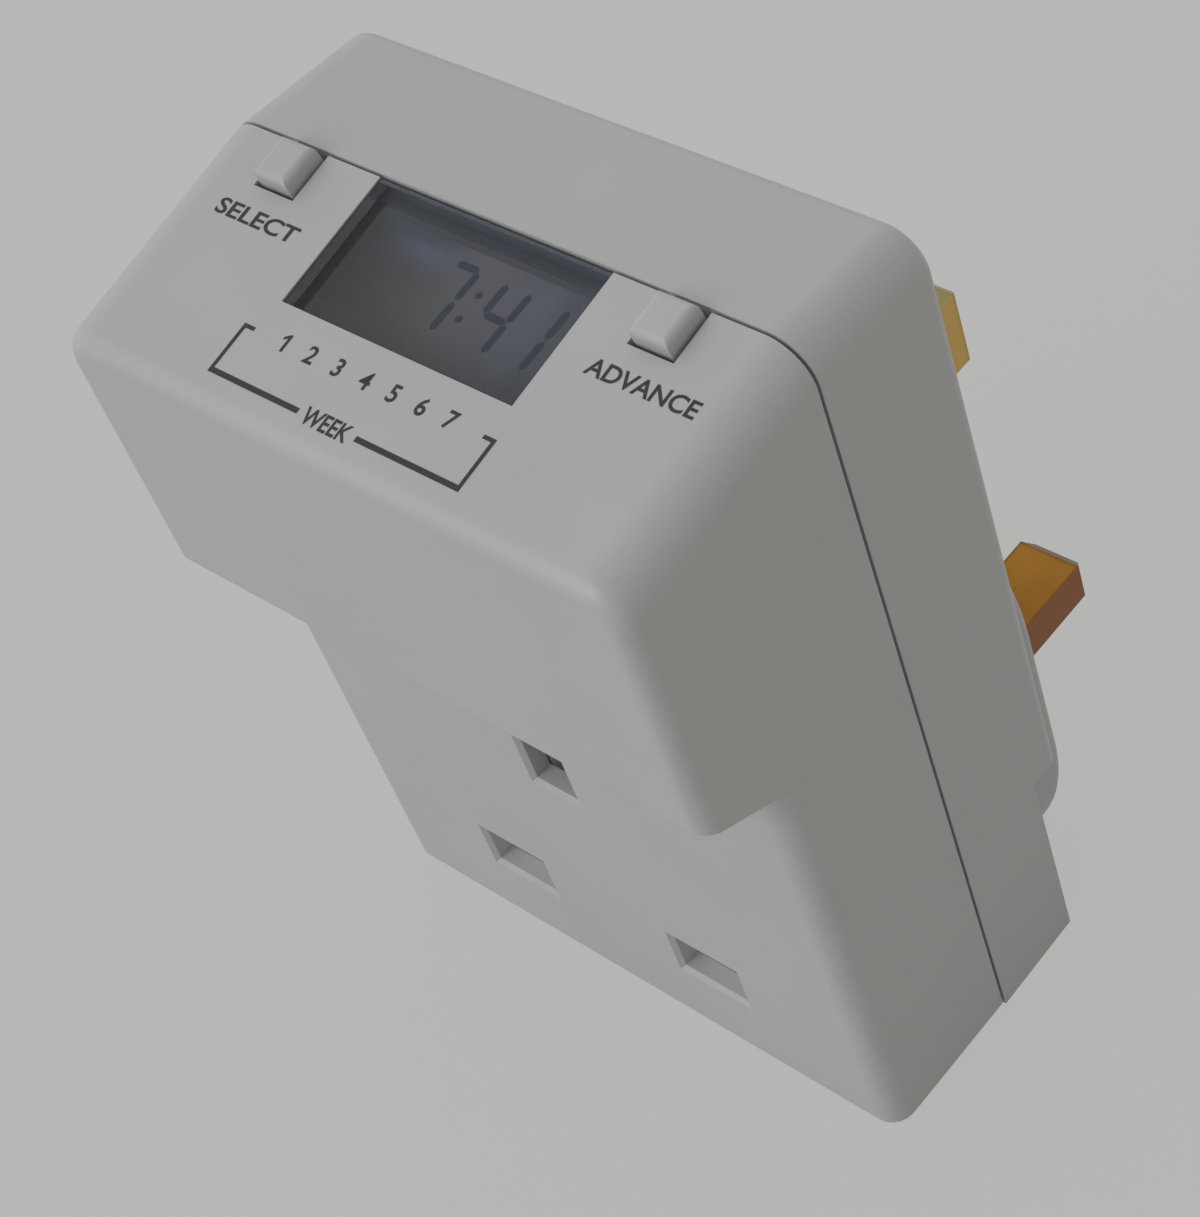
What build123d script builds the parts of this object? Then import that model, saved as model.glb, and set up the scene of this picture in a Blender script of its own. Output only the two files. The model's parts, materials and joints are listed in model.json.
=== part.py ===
from build123d import *
from math import atan, cos, sin
import os

# Plug-in timer switch for a rectangular-pin wall socket.
#
# Frame: X to the right seen from the front, +Y into the wall, +Z up, millimetres.
# The origin lies on the plug's engagement face, midway between the line and neutral pins.
# A depth is a distance in front of the engagement face, so depth d is the plane Y = -d.
# A drop is a distance under the sloped display face, square to it.

# ---- Driving dimensions -------------------------------------------------------------

# Clearance between parts that move or are fitted side by side
clearance = 0.3

# Pins and pin apertures
pin_half_pitch = 11.1
earth_rise = 22.2
blade_width = 6.35
blade_height = 4.0
blade_reach = 17.7
earth_width = 4.0
earth_height = 8.0
earth_reach = 22.7
pin_tip_chamfer = 0.9
pin_fit = 0.1
pin_flange_margin = 1.6
pin_flange_thickness = 2.0
aperture_room = 0.43
aperture_lead_in = 0.4

# Housing shells
parting_depth = 18.4
parting_gap = 0.3
socket_depth = 33.2
head_depth = 40.0
rear_depth = 5.1
rear_foot_depth = 8.6
rear_step_height = 9.0
parting_half_width = 29.1
head_draft = 0.1
rear_draft = 0.2
housing_foot = -10.6
parting_top = 68.9
rear_top = 67.9
head_front_top = 65.0
underside_back = 35.9
underside_front = 39.1
wall = 2.0
corner_radius = 3.7
head_edge_radius = 1.8
socket_edge_radius = 2.2
foot_edge_radius = 0.7
rear_edge_radius = 1.2
lip_thickness = 0.9
lip_reach = 1.6
lip_fit = 0.1
lip_top = 58.0

# Plug boss on the back
boss_half_width = 24.0
boss_upper_centre = 16.4
boss_lower_centre = 2.2
boss_wall = 2.5
boss_edge_radius = 0.8

# Display window, display and its board, measured along the display face
window_width = 23.5
window_length = 12.2
window_recess = 0.15
window_flange = 1.1
window_flange_thickness = 1.0
pane_setback = 0.5
pane_fit = 0.1
frame_wall = 0.7
panel_thickness = 2.1
strip_width = 1.4
strip_height = 1.8
board_thickness = 1.6
display_board_side_room = 2.1
display_board_back = 1.3
display_board_front_room = 1.55
board_boss_radius = 2.5
board_boss_inset = 3.8
board_boss_setback = 7.6
chip_radius = 3.6
chip_height = 1.2
chip_x = -9.5
chip_setback = 5.1
crystal_radius = 1.0
crystal_length = 6.0
crystal_x = 4.0
crystal_setback = 4.1

# Push buttons and the switches under them
left_button_inset = 9.6
right_button_inset = 10.45
button_width = 3.6
button_length = 3.75
button_stand = 1.5
button_travel = 0.5
button_gap = 0.35
button_setback = 0.55
button_edge_radius = 0.6
button_flange = 0.5
button_flange_thickness = 0.8
button_clearance = 0.35
switch_size = 5.2
switch_height = 3.1
plunger_radius = 1.75
plunger_fit = 0.1
plunger_entry = 0.7

# Housing screws and their posts
post_radius = 3.2
post_meeting_depth = 16.0
screw_seat_depth = 9.0
screw_length = 14.0
screw_radius = 1.5
screw_head_radius = 2.8
screw_head_thickness = 2.0
screw_head_room = 0.3
screw_tube_wall = 1.4
thread_fit = 0.05
shank_room = 0.2
screw_hole_overrun = 1.0
upper_post_x = 22.4
upper_post_z = 46.0
lower_post_x = 19.3
lower_post_z = 11.0

# Small screws of the boards and the contact carrier
small_screw_radius = 1.0
small_screw_bite = 3.0
small_head_radius = 2.0
small_head_thickness = 1.4
driver_slot_width = 0.6
driver_slot_depth = 0.7
driver_cross_span = 3.6

# Shutter, its spring and the contact carrier
shutter_thickness = 2.0
shutter_travel = 6.0
shutter_cover = 0.8
shutter_stem_half_width = 5.9
shutter_seat_top = 29.5
ramp_depth = 5.2
ramp_side_room = 0.6
guide_width = 1.0
guide_length = 7.0
guide_room = 0.8
spring_radius = 2.2
spring_wire = 0.4
spring_length = 12.0
spring_turns = 7
spring_end_play = 0.05
spring_wire_sides = 6
spring_shelf_half_width = 3.2
spring_shelf_thickness = 1.5
carrier_plate = 2.0
carrier_half_width = 16.0
carrier_top = 30.0
carrier_bottom = -7.6
carrier_back_depth = 13.5
carrier_screw_x = 18.5
carrier_screw_z = 27.5
carrier_ear_margin = 1.0
shutter_stop_margin = 3.0
pocket_wall = 1.0
pocket_side_room = 0.5
pocket_half_height = 4.2

# Socket contacts and the line strap
contact_sheet = 0.8
contact_width = 6.0
contact_grip = 3.4
contact_mouth = 5.0
contact_root = 4.4
contact_mouth_length = 2.4
blade_contact_back = 14.4
earth_contact_back = 9.6
contact_plate_gap = 0.4
earth_contact_gap = 0.5
earth_contact_height = 7.0
tail_width = 4.5
tail_slot_room = 0.25
tail_rise = 37.9
strap_width = 5.0
strap_depth = 8.6
strap_rise = 38.9

# Power board and its components
power_board_depth = 10.4
power_board_side_room = 2.8
power_board_bottom = 37.0
power_board_top = 61.6
standoff_radius = 2.2
left_standoff_inset = 2.7
left_standoff_z = 57.6
right_standoff_inset = 3.0
right_standoff_z = 54.0
capacitor_left = 3.5
capacitor_bottom = 39.2
capacitor_width = 14.5
capacitor_height = 7.2
capacitor_depth = 13.0
capacitor_edge_radius = 0.8
can_radius = 4.0
can_depth = 12.0
can_bead_height = 1.5
can_bead_width = 0.6
can_bead_depth = 0.4
can_edge_radius = 0.4
can_x = 5.7
can_z = 51.4
disc_radius = 4.4
disc_thickness = 4.0
disc_stand = 1.0
disc_edge = 0.8
disc_inset = 9.3
disc_z = 52.0
resistor_radius = 1.8
resistor_length = 8.0
resistor_x = 6.5
resistor_z = 57.8
diode_radius = 1.3
diode_length = 3.6
diode_pitch = 3.5
diode_count = 4
diode_inset = 7.5
diode_z = 58.6
lead_radius = 0.35
lead_stub = 0.9
lead_sides = 6
ribbon_left = 12.6
ribbon_width = 8.0
ribbon_thickness = 0.4
ribbon_board_z = 58.3
ribbon_lap = 3.0
ribbon_overhang = 0.5
ribbon_foot = 2.5

# Relay, measured from its lower left corner and from the power board
relay_left = -18.0
relay_bottom = 40.0
relay_width = 19.0
relay_height = 15.0
relay_wall = 0.8
relay_edge_radius = 0.6
relay_front_radius = 0.5
relay_base_thickness = 1.6
coil_start = 2.0
coil_length = 10.4
coil_axis_height = 7.0
flange_radius = 4.2
flange_thickness = 0.8
winding_radius = 3.8
bobbin_radius = 2.4
core_radius = 1.7
pole_reach = 0.5
yoke_thickness = 1.0
yoke_width = 7.0
yoke_top_height = 11.4
armature_gap = 0.8
armature_thickness = 1.0
armature_foot = 3.4
armature_head = 12.9
contact_height = 1.8
contact_radius = 0.8
contact_stroke = 0.75
blade_thickness = 0.25

# Backup battery
cell_radius = 5.2
cell_length = 4.8
cell_count = 3
battery_fit = 0.1
cradle_rib = 1.2
cradle_lip = 1.0
tab_thickness = 0.3
tab_width = 3.0

os.makedirs("parts", exist_ok=True)

# ---- Derived sizes ------------------------------------------------------------------

head_half_width = parting_half_width - head_draft
rear_half_width = parting_half_width - rear_draft
face_fall = (parting_top - head_front_top) / (head_depth - parting_depth)
face_angle = atan(face_fall)
underside_slope = (underside_front - underside_back) / (head_depth - socket_depth)
half_gap = parting_gap / 2

face_plane = Plane(
    origin=(0, -parting_depth, parting_top),
    x_dir=(1, 0, 0),
    z_dir=(0, -face_fall, 1),
)

window_left = -window_width / 2
flange_drop = wall + window_flange_thickness
board_top_drop = flange_drop + pane_fit + panel_thickness + strip_height
board_bottom_drop = board_top_drop + board_thickness
board_front_depth = head_depth - wall - display_board_front_room
board_front_run = board_front_depth - parting_depth + board_top_drop * sin(face_angle)
board_front = -board_front_run / cos(face_angle)
display_board_length = display_board_back - board_front
display_board_half_width = parting_half_width - wall - display_board_side_room
board_boss_x = display_board_half_width - board_boss_inset
board_boss_spots = [(side * board_boss_x, board_front + board_boss_setback) for side in (-1, 1)]
left_button_x = left_button_inset - parting_half_width
right_button_x = parting_half_width - right_button_inset
button_centre_y = -button_setback - button_length / 2

aperture_width = blade_width + 2 * aperture_room
aperture_height = blade_height + 2 * aperture_room
earth_aperture_width = earth_width + 2 * aperture_room
earth_aperture_height = earth_height + 2 * aperture_room
earth_foot = earth_rise - earth_height / 2
earth_head = earth_rise + earth_height / 2

shutter_front_depth = socket_depth - wall - clearance
shutter_back_depth = shutter_front_depth - shutter_thickness
carrier_front_depth = shutter_back_depth - clearance
carrier_plate_back = carrier_front_depth - carrier_plate
blade_contact_front = carrier_plate_back - contact_plate_gap
earth_contact_front = shutter_front_depth - ramp_depth - earth_contact_gap
blade_half_height = aperture_height / 2 + shutter_cover
ramp_half_width = earth_width / 2 + ramp_side_room
ramp_tip = earth_head + clearance - shutter_travel
spring_depth = shutter_front_depth - spring_radius
spring_seat_height = shutter_seat_top + spring_length
guide_foot = blade_half_height + shutter_travel + guide_room
carrier_screw_spots = [(side * carrier_screw_x, carrier_screw_z) for side in (-1, 1)]
pocket_half_width = blade_width / 2 + pocket_side_room

power_front_depth = power_board_depth + board_thickness
power_board_half_width = parting_half_width - wall - power_board_side_room
standoff_spots = [
    (left_standoff_inset - power_board_half_width, left_standoff_z),
    (power_board_half_width - right_standoff_inset, right_standoff_z),
]
disc_x = power_board_half_width - disc_inset
diode_first_x = diode_inset - power_board_half_width
shelf_back = spring_depth - spring_radius - clearance
battery_depth = head_depth - wall - clearance - cell_radius
relay_front_depth = min(shelf_back, battery_depth - cell_radius) - clearance
relay_depth = relay_front_depth - power_front_depth
screw_tube_radius = screw_head_radius + screw_head_room + screw_tube_wall
upper_spots = [(side * upper_post_x, upper_post_z) for side in (-1, 1)]
lower_spots = [(side * lower_post_x, lower_post_z) for side in (-1, 1)]
screw_spots = upper_spots + lower_spots
battery_length = cell_count * cell_length
battery_z = underside_front + wall / 2 + cell_radius
battery_left = -upper_post_x + post_radius + clearance + tab_thickness


def half_width_at(depth):
    """Half width of the front shell at a depth, narrowing with its draft."""
    share = (depth - parting_depth) / (head_depth - parting_depth)
    return parting_half_width + (head_half_width - parting_half_width) * share


def height_under_face(depth, drop=0):
    """Height, at a depth, of the plane a drop under the display face."""
    return parting_top - face_fall * (depth - parting_depth) - drop / cos(face_angle)


# ---- Forms of the two shells --------------------------------------------------------


def outline(half_width, foot, top, radius):
    """Housing outline seen from the front, with two rounded top corners."""
    with Locations((0, (foot + top) / 2)):
        Rectangle(2 * half_width, top - foot)
    fillet(vertices().group_by(Axis.Y)[-1], radius)


def front_loft(start_depth, inset=0):
    """Drafted block of the front shell under its sloped face, without the step."""
    sections = []
    for depth in (start_depth, head_depth - inset):
        with BuildSketch(Plane.XZ.offset(depth)) as section:
            outline(
                half_width_at(depth) - inset,
                housing_foot + inset,
                height_under_face(depth, inset),
                corner_radius - inset,
            )
        sections.append(section.sketch)
    loft(sections, ruled=True)


def cut_undercut(inset=0, start_depth=socket_depth):
    """Cuts away what lies under the head, forward of a depth."""
    beyond = head_depth + wall
    rise = inset / cos(atan(underside_slope)) - underside_slope * socket_depth
    side_profile(
        [
            (start_depth - inset, housing_foot - wall),
            (start_depth - inset, underside_back + rise + underside_slope * (start_depth - inset)),
            (beyond, underside_back + rise + underside_slope * beyond),
            (beyond, housing_foot - wall),
        ],
        -2 * parting_half_width,
        4 * parting_half_width,
        Mode.SUBTRACT,
    )


def rear_block(start_depth, end_depth, inset=0):
    """Form of the rear shell between two depths, set back at the foot, without the boss."""
    sections = []
    ends = (
        (start_depth, parting_half_width, parting_top),
        (end_depth, rear_half_width, rear_top),
    )
    for depth, half_width, top in ends:
        with BuildSketch(Plane.XZ.offset(depth)) as section:
            outline(half_width - inset, housing_foot + inset, top - inset, corner_radius - inset)
        sections.append(section.sketch)
    loft(sections, ruled=True)
    with BuildSketch(Plane.YZ) as step:
        with Locations((-rear_foot_depth - inset, rear_step_height + inset)):
            Rectangle(
                rear_foot_depth + inset,
                rear_step_height - housing_foot + wall,
                align=(Align.MIN, Align.MAX),
            )
    extrude(step.sketch, amount=2 * parting_half_width, both=True, mode=Mode.SUBTRACT)


def boss_outline(inset=0):
    """Plug boss outline: two arcs joined by upright sides, cut off level with the foot."""
    radius = boss_half_width - inset
    for height in (boss_lower_centre, boss_upper_centre):
        with Locations((0, height)):
            Circle(radius)
    with Locations((0, boss_lower_centre)):
        Rectangle(
            2 * radius,
            boss_upper_centre - boss_lower_centre,
            align=(Align.CENTER, Align.MIN),
        )
    with Locations((0, housing_foot + inset)):
        Rectangle(4 * radius, 4 * radius, align=(Align.CENTER, Align.MIN), mode=Mode.INTERSECT)


def aperture_outlines():
    """Outlines of the line, neutral and earth apertures."""
    with Locations((-pin_half_pitch, 0), (pin_half_pitch, 0)):
        Rectangle(aperture_width, aperture_height)
    with Locations((0, earth_rise)):
        Rectangle(earth_aperture_width, earth_aperture_height)


# ---- Shapes that repeat -------------------------------------------------------------


def round_bar(depth, spots, radius, length, mode=Mode.ADD):
    """Round bars at (x, z) spots, from a depth towards the front."""
    with BuildSketch(Plane.XZ.offset(depth)) as section:
        with Locations(spots):
            Circle(radius)
    extrude(section.sketch, amount=length, mode=mode)


def block(depth, left, bottom, width, height, length, mode=Mode.ADD):
    """Rectangular block from its lower left corner and a depth towards the front."""
    with BuildSketch(Plane.XZ.offset(depth)) as section:
        with Locations((left, bottom)):
            Rectangle(width, height, align=(Align.MIN, Align.MIN))
    extrude(section.sketch, amount=length, mode=mode)


def face_block(drop, left, back, width, length, height, mode=Mode.ADD):
    """Block that rises square to the display face from a plane a drop under it."""
    with BuildSketch(face_plane.offset(-drop)) as section:
        with Locations((left, back)):
            Rectangle(width, length, align=(Align.MIN, Align.MAX))
    extrude(section.sketch, amount=height, mode=mode)


def face_bar(drop, spots, radius, height, mode=Mode.ADD):
    """Round bars that rise square to the display face from a plane a drop under it."""
    with BuildSketch(face_plane.offset(-drop)) as section:
        with Locations(spots):
            Circle(radius)
    extrude(section.sketch, amount=height, mode=mode)


def side_profile(points, left, width, mode=Mode.ADD):
    """Profile of (depth, height) points, extruded across the object from its left side."""
    with BuildSketch(Plane.YZ.offset(left)) as profile:
        with BuildLine():
            Polyline(*[(-depth, height) for depth, height in points], close=True)
        make_face()
    extrude(profile.sketch, amount=width, mode=mode)


def bent_strip(points, left, width, thickness):
    """Sheet strip bent along (depth, height) points, seen from the side."""
    with BuildSketch(Plane.YZ.offset(left)) as profile:
        with BuildLine():
            Polyline(*[(-depth, height) for depth, height in points])
        trace(line_width=thickness)
    extrude(profile.sketch, amount=width)


def cross_bar(left, depth, height, radius, length, mode=Mode.ADD):
    """Round bar along X from its left end."""
    with BuildSketch(Plane.YZ.offset(left)) as section:
        with Locations((-depth, height)):
            Circle(radius)
    extrude(section.sketch, amount=length, mode=mode)


def small_screws(seat_plane, spots, grip, sense=1):
    """Small screws with slotted heads: sense 1 drives the shanks along the plane's normal."""
    with BuildSketch(seat_plane) as shank:
        with Locations(spots):
            Circle(small_screw_radius)
    extrude(shank.sketch, amount=sense * (grip + small_screw_bite - thread_fit))
    with BuildSketch(seat_plane) as head:
        with Locations(spots):
            Circle(small_head_radius)
    extrude(head.sketch, amount=-sense * small_head_thickness)
    with BuildSketch(seat_plane.offset(-sense * small_head_thickness)) as slot:
        with Locations(spots):
            Rectangle(3 * small_head_radius, driver_slot_width)
    extrude(slot.sketch, amount=sense * driver_slot_depth, mode=Mode.SUBTRACT)


# ---- Front housing ------------------------------------------------------------------

# inside of the front shell
with BuildPart() as front_cavity:
    front_loft(parting_depth, wall)
    cut_undercut(wall)

# lower half, whose face holds the pin apertures
with BuildPart() as socket_half:
    front_loft(parting_depth + half_gap)
    cut_undercut(start_depth=head_depth)
    block(
        socket_depth,
        -2 * parting_half_width,
        housing_foot - wall,
        4 * parting_half_width,
        2 * parting_top,
        head_depth,
        Mode.SUBTRACT,
    )
    socket_face = socket_half.faces().sort_by(Axis.Y)[0]
    fillet(socket_face.edges().sort_by(Axis.Z)[1:], socket_edge_radius)
    foot_face = socket_half.faces().sort_by(Axis.Z)[0]
    fillet(foot_face.edges().group_by(Axis.Y)[:-1], foot_edge_radius)

# head, which stands forward over it
with BuildPart() as front_housing:
    front_loft(parting_depth + half_gap)
    cut_undercut(start_depth=0)
    head_face = front_housing.faces().sort_by(Axis.Y)[0]
    fillet(head_face.edges().sort_by(Axis.Z)[1:], head_edge_radius)
    head_foot = front_housing.faces().sort_by(Axis.Z)[0]
    fillet(head_foot.edges().group_by(Axis.Y)[:-1], foot_edge_radius)
    add(socket_half.part)
    add(front_cavity.part, mode=Mode.SUBTRACT)

    # rebate that takes the lip of the rear shell
    with BuildSketch(Plane.XZ.offset(parting_depth)):
        outline(
            parting_half_width - wall + lip_thickness,
            housing_foot + wall - lip_thickness,
            parting_top,
            corner_radius,
        )
        with Locations((0, lip_top)):
            Rectangle(
                2 * parting_half_width,
                parting_top - housing_foot,
                align=(Align.CENTER, Align.MAX),
                mode=Mode.INTERSECT,
            )
    extrude(amount=lip_reach + lip_fit, mode=Mode.SUBTRACT)

    # notches of the window and of the two buttons, open at the parting line
    face_block(2 * wall, window_left, wall, window_width, window_length + wall, 3 * wall, Mode.SUBTRACT)
    for button_x in (left_button_x, right_button_x):
        face_block(
            2 * wall,
            button_x - button_width / 2 - button_gap,
            wall,
            button_width + 2 * button_gap,
            wall + button_setback + button_length + button_gap,
            3 * wall,
            Mode.SUBTRACT,
        )

    # pin apertures, with a lead-in at the mouth of each
    with BuildSketch(Plane.XZ.offset(socket_depth - 2 * wall)):
        aperture_outlines()
    extrude(amount=3 * wall, mode=Mode.SUBTRACT)
    with BuildSketch(Plane.XZ.offset(socket_depth - aperture_lead_in)):
        aperture_outlines()
    extrude(amount=aperture_lead_in, taper=-45, mode=Mode.SUBTRACT)

    # posts of the housing screws
    for spots, front_depth in ((upper_spots, head_depth), (lower_spots, socket_depth)):
        round_bar(post_meeting_depth, spots, post_radius, front_depth - wall / 2 - post_meeting_depth)
    round_bar(
        post_meeting_depth,
        screw_spots,
        screw_radius + thread_fit,
        screw_seat_depth + screw_length + screw_hole_overrun - post_meeting_depth,
        Mode.SUBTRACT,
    )

    # stands of the contact carrier, stop and guides of the shutter
    stand = socket_depth - wall / 2 - carrier_front_depth
    round_bar(carrier_front_depth, carrier_screw_spots, small_head_radius + carrier_ear_margin, stand)
    round_bar(
        carrier_front_depth,
        carrier_screw_spots,
        small_screw_radius + thread_fit,
        small_screw_bite,
        Mode.SUBTRACT,
    )
    stop_half_width = pin_half_pitch - aperture_width / 2 - shutter_stop_margin
    block(
        carrier_front_depth,
        -stop_half_width,
        carrier_bottom,
        2 * stop_half_width,
        -blade_half_height - clearance - carrier_bottom,
        stand,
    )
    for side in (-1, 1):
        guide_x = side * (shutter_stem_half_width + clearance + guide_width / 2)
        block(
            carrier_front_depth,
            guide_x - guide_width / 2,
            guide_foot,
            guide_width,
            guide_length,
            stand,
        )

    # shelf and spigot over the shutter spring
    front_inside = head_depth - wall / 2
    face_inside = socket_depth - wall / 2
    side_profile(
        [
            (shelf_back, spring_seat_height),
            (shelf_back, spring_seat_height + spring_shelf_thickness),
            (front_inside, spring_seat_height + spring_shelf_thickness),
            (front_inside, underside_front + wall / 2),
            (face_inside, underside_back + wall / 2),
            (face_inside, spring_seat_height),
        ],
        -spring_shelf_half_width,
        2 * spring_shelf_half_width,
    )
    with BuildSketch(Plane.XY.offset(spring_seat_height)):
        with Locations((0, -spring_depth)):
            Circle(spring_radius - 1.5 * spring_wire)
    extrude(amount=-4 * spring_wire)

    # two ribs that cradle the backup battery
    cradle_back = battery_depth - cell_radius + cradle_lip
    for share in (0.2, 0.8):
        rib_left = battery_left + share * battery_length - cradle_rib / 2
        side_profile(
            [
                (front_inside, battery_z - cradle_lip),
                (front_inside, underside_front + wall / 2),
                (face_inside, underside_back + wall / 2),
                (cradle_back, battery_z - cell_radius + cradle_lip),
                (cradle_back, battery_z - cradle_lip),
            ],
            rib_left,
            cradle_rib,
        )
    cross_bar(
        battery_left,
        battery_depth,
        battery_z,
        cell_radius + battery_fit,
        battery_length,
        Mode.SUBTRACT,
    )

    # bosses under the display face that carry the display board
    face_bar(board_top_drop, board_boss_spots, board_boss_radius, board_top_drop - wall / 2)
    face_bar(
        board_top_drop,
        board_boss_spots,
        small_screw_radius + thread_fit,
        small_screw_bite,
        Mode.SUBTRACT,
    )
front_housing.part.label = "front_housing"
export_step(front_housing.part, "parts/front_housing.step")

# ---- Rear housing -------------------------------------------------------------------

# inside of the rear shell and of its boss
with BuildPart() as rear_cavity:
    rear_block(parting_depth, rear_depth + wall, wall)
    with BuildSketch(Plane.XZ.offset(boss_wall)):
        boss_outline(boss_wall)
    extrude(amount=rear_foot_depth + wall - boss_wall)

# lip that closes the parting line from inside
with BuildPart() as parting_lip:
    with BuildSketch(Plane.XZ.offset(parting_depth - wall)):
        outline(
            parting_half_width - wall + lip_thickness - lip_fit,
            housing_foot + wall - lip_thickness + lip_fit,
            parting_top,
            corner_radius,
        )
        with Locations((0, (housing_foot + parting_top) / 2)):
            Rectangle(
                2 * (parting_half_width - wall),
                parting_top - housing_foot - 2 * wall,
                mode=Mode.SUBTRACT,
            )
        with Locations((0, lip_top)):
            Rectangle(
                2 * parting_half_width,
                parting_top - housing_foot,
                align=(Align.CENTER, Align.MAX),
                mode=Mode.INTERSECT,
            )
    extrude(amount=wall + lip_reach)

with BuildPart() as rear_housing:
    rear_block(parting_depth - half_gap, rear_depth)
    back_face = rear_housing.faces().sort_by(Axis.Y)[-1]
    fillet(back_face.edges().sort_by(Axis.Z)[1:], rear_edge_radius)
    with BuildSketch(Plane.XZ):
        boss_outline()
    extrude(amount=rear_foot_depth + wall)
    boss_face = rear_housing.faces().sort_by(Axis.Y)[-1]
    fillet(boss_face.edges(), boss_edge_radius)
    add(rear_cavity.part, mode=Mode.SUBTRACT)
    add(parting_lip.part)

    # tubes that carry the housing screws, with deep head recesses
    for spots, inner_depth in ((upper_spots, rear_depth + wall / 2), (lower_spots, boss_wall / 2)):
        round_bar(inner_depth, spots, screw_tube_radius, screw_seat_depth + wall - inner_depth)
    round_bar(screw_seat_depth, screw_spots, post_radius, post_meeting_depth - screw_seat_depth)
    round_bar(0, screw_spots, screw_head_radius + screw_head_room, screw_seat_depth, Mode.SUBTRACT)
    round_bar(0, screw_spots, screw_radius + shank_room, post_meeting_depth, Mode.SUBTRACT)

    # slots of the three pins
    with BuildSketch(Plane.XZ):
        with Locations((-pin_half_pitch, 0), (pin_half_pitch, 0)):
            Rectangle(blade_width + 2 * pin_fit, blade_height + 2 * pin_fit)
        with Locations((0, earth_rise)):
            Rectangle(earth_width + 2 * pin_fit, earth_height + 2 * pin_fit)
    extrude(amount=2 * boss_wall, mode=Mode.SUBTRACT)

    # standoffs of the power board
    standoff_root = rear_depth + wall / 2
    round_bar(standoff_root, standoff_spots, standoff_radius, power_board_depth - standoff_root)
    round_bar(
        power_board_depth - small_screw_bite,
        standoff_spots,
        small_screw_radius + thread_fit,
        small_screw_bite,
        Mode.SUBTRACT,
    )
rear_housing.part.label = "rear_housing"
export_step(rear_housing.part, "parts/rear_housing.step")

with BuildPart() as housing_screws:
    round_bar(screw_seat_depth, screw_spots, screw_radius, screw_length)
    round_bar(
        screw_seat_depth - screw_head_thickness,
        screw_spots,
        screw_head_radius,
        screw_head_thickness,
    )
    with BuildSketch(Plane.XZ.offset(screw_seat_depth - screw_head_thickness)):
        with Locations(screw_spots):
            Rectangle(driver_cross_span, driver_slot_width)
            Rectangle(driver_slot_width, driver_cross_span)
    extrude(amount=driver_slot_depth, mode=Mode.SUBTRACT)
housing_screws.part.label = "housing_screws"
export_step(housing_screws.part, "parts/housing_screws.step")

# ---- Plug pins ----------------------------------------------------------------------


def plug_pin(x, z, width, height, reach, inner_depth):
    """Pin with a chamfered tip, and a flange that bears on the inside of the boss."""
    block(-reach, x - width / 2, z - height / 2, width, height, reach + inner_depth)
    chamfer(faces().sort_by(Axis.Y)[-1].edges(), pin_tip_chamfer)
    block(
        boss_wall,
        x - width / 2 - pin_flange_margin,
        z - height / 2 - pin_flange_margin,
        width + 2 * pin_flange_margin,
        height + 2 * pin_flange_margin,
        pin_flange_thickness,
    )


with BuildPart() as line_pin:
    plug_pin(pin_half_pitch, 0, blade_width, blade_height, blade_reach, strap_depth)
line_pin.part.label = "line_pin"
export_step(line_pin.part, "parts/line_pin.step")

with BuildPart() as neutral_pin:
    plug_pin(-pin_half_pitch, 0, blade_width, blade_height, blade_reach, blade_contact_back)
neutral_pin.part.label = "neutral_pin"
export_step(neutral_pin.part, "parts/neutral_pin.step")

with BuildPart() as earth_pin:
    plug_pin(0, earth_rise, earth_width, earth_height, earth_reach, earth_contact_back)
earth_pin.part.label = "earth_pin"
export_step(earth_pin.part, "parts/earth_pin.step")

# ---- Shutter and its spring ---------------------------------------------------------

with BuildPart() as shutter:
    with BuildSketch(Plane.XZ.offset(shutter_back_depth)):
        Rectangle(
            2 * pin_half_pitch + aperture_width + 2 * shutter_cover,
            2 * blade_half_height,
        )
        Rectangle(
            2 * shutter_stem_half_width,
            shutter_seat_top,
            align=(Align.CENTER, Align.MIN),
        )
        # opening that lets the shutter rise past the earth pin
        with Locations((0, earth_foot - shutter_travel - clearance)):
            Rectangle(
                2 * ramp_half_width,
                earth_height + shutter_travel + clearance,
                align=(Align.CENTER, Align.MIN),
                mode=Mode.SUBTRACT,
            )
    extrude(amount=shutter_thickness)
    # ramp that an entering earth pin pushes up
    side_profile(
        [
            (shutter_front_depth, earth_head + clearance),
            (shutter_front_depth - ramp_depth, ramp_tip),
            (shutter_front_depth - ramp_depth, shutter_seat_top),
            (shutter_front_depth, shutter_seat_top),
        ],
        -ramp_half_width,
        2 * ramp_half_width,
    )
shutter.part.label = "shutter"
export_step(shutter.part, "parts/shutter.step")

with BuildPart() as shutter_spring:
    coil_height = spring_length - spring_wire - 2 * spring_end_play
    with BuildLine(Plane.XY.offset(shutter_seat_top + (spring_length - coil_height) / 2)) as coil:
        Helix(
            pitch=coil_height / spring_turns,
            height=coil_height,
            radius=spring_radius - spring_wire / 2,
            center=(0, -spring_depth, 0),
        )
    with BuildSketch(Plane(origin=coil.line @ 0, z_dir=coil.line % 0)):
        RegularPolygon(spring_wire / 2, spring_wire_sides)
    sweep(is_frenet=True)
shutter_spring.part.label = "shutter_spring"
export_step(shutter_spring.part, "parts/shutter_spring.step")

# ---- Contact carrier and socket contacts --------------------------------------------

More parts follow.
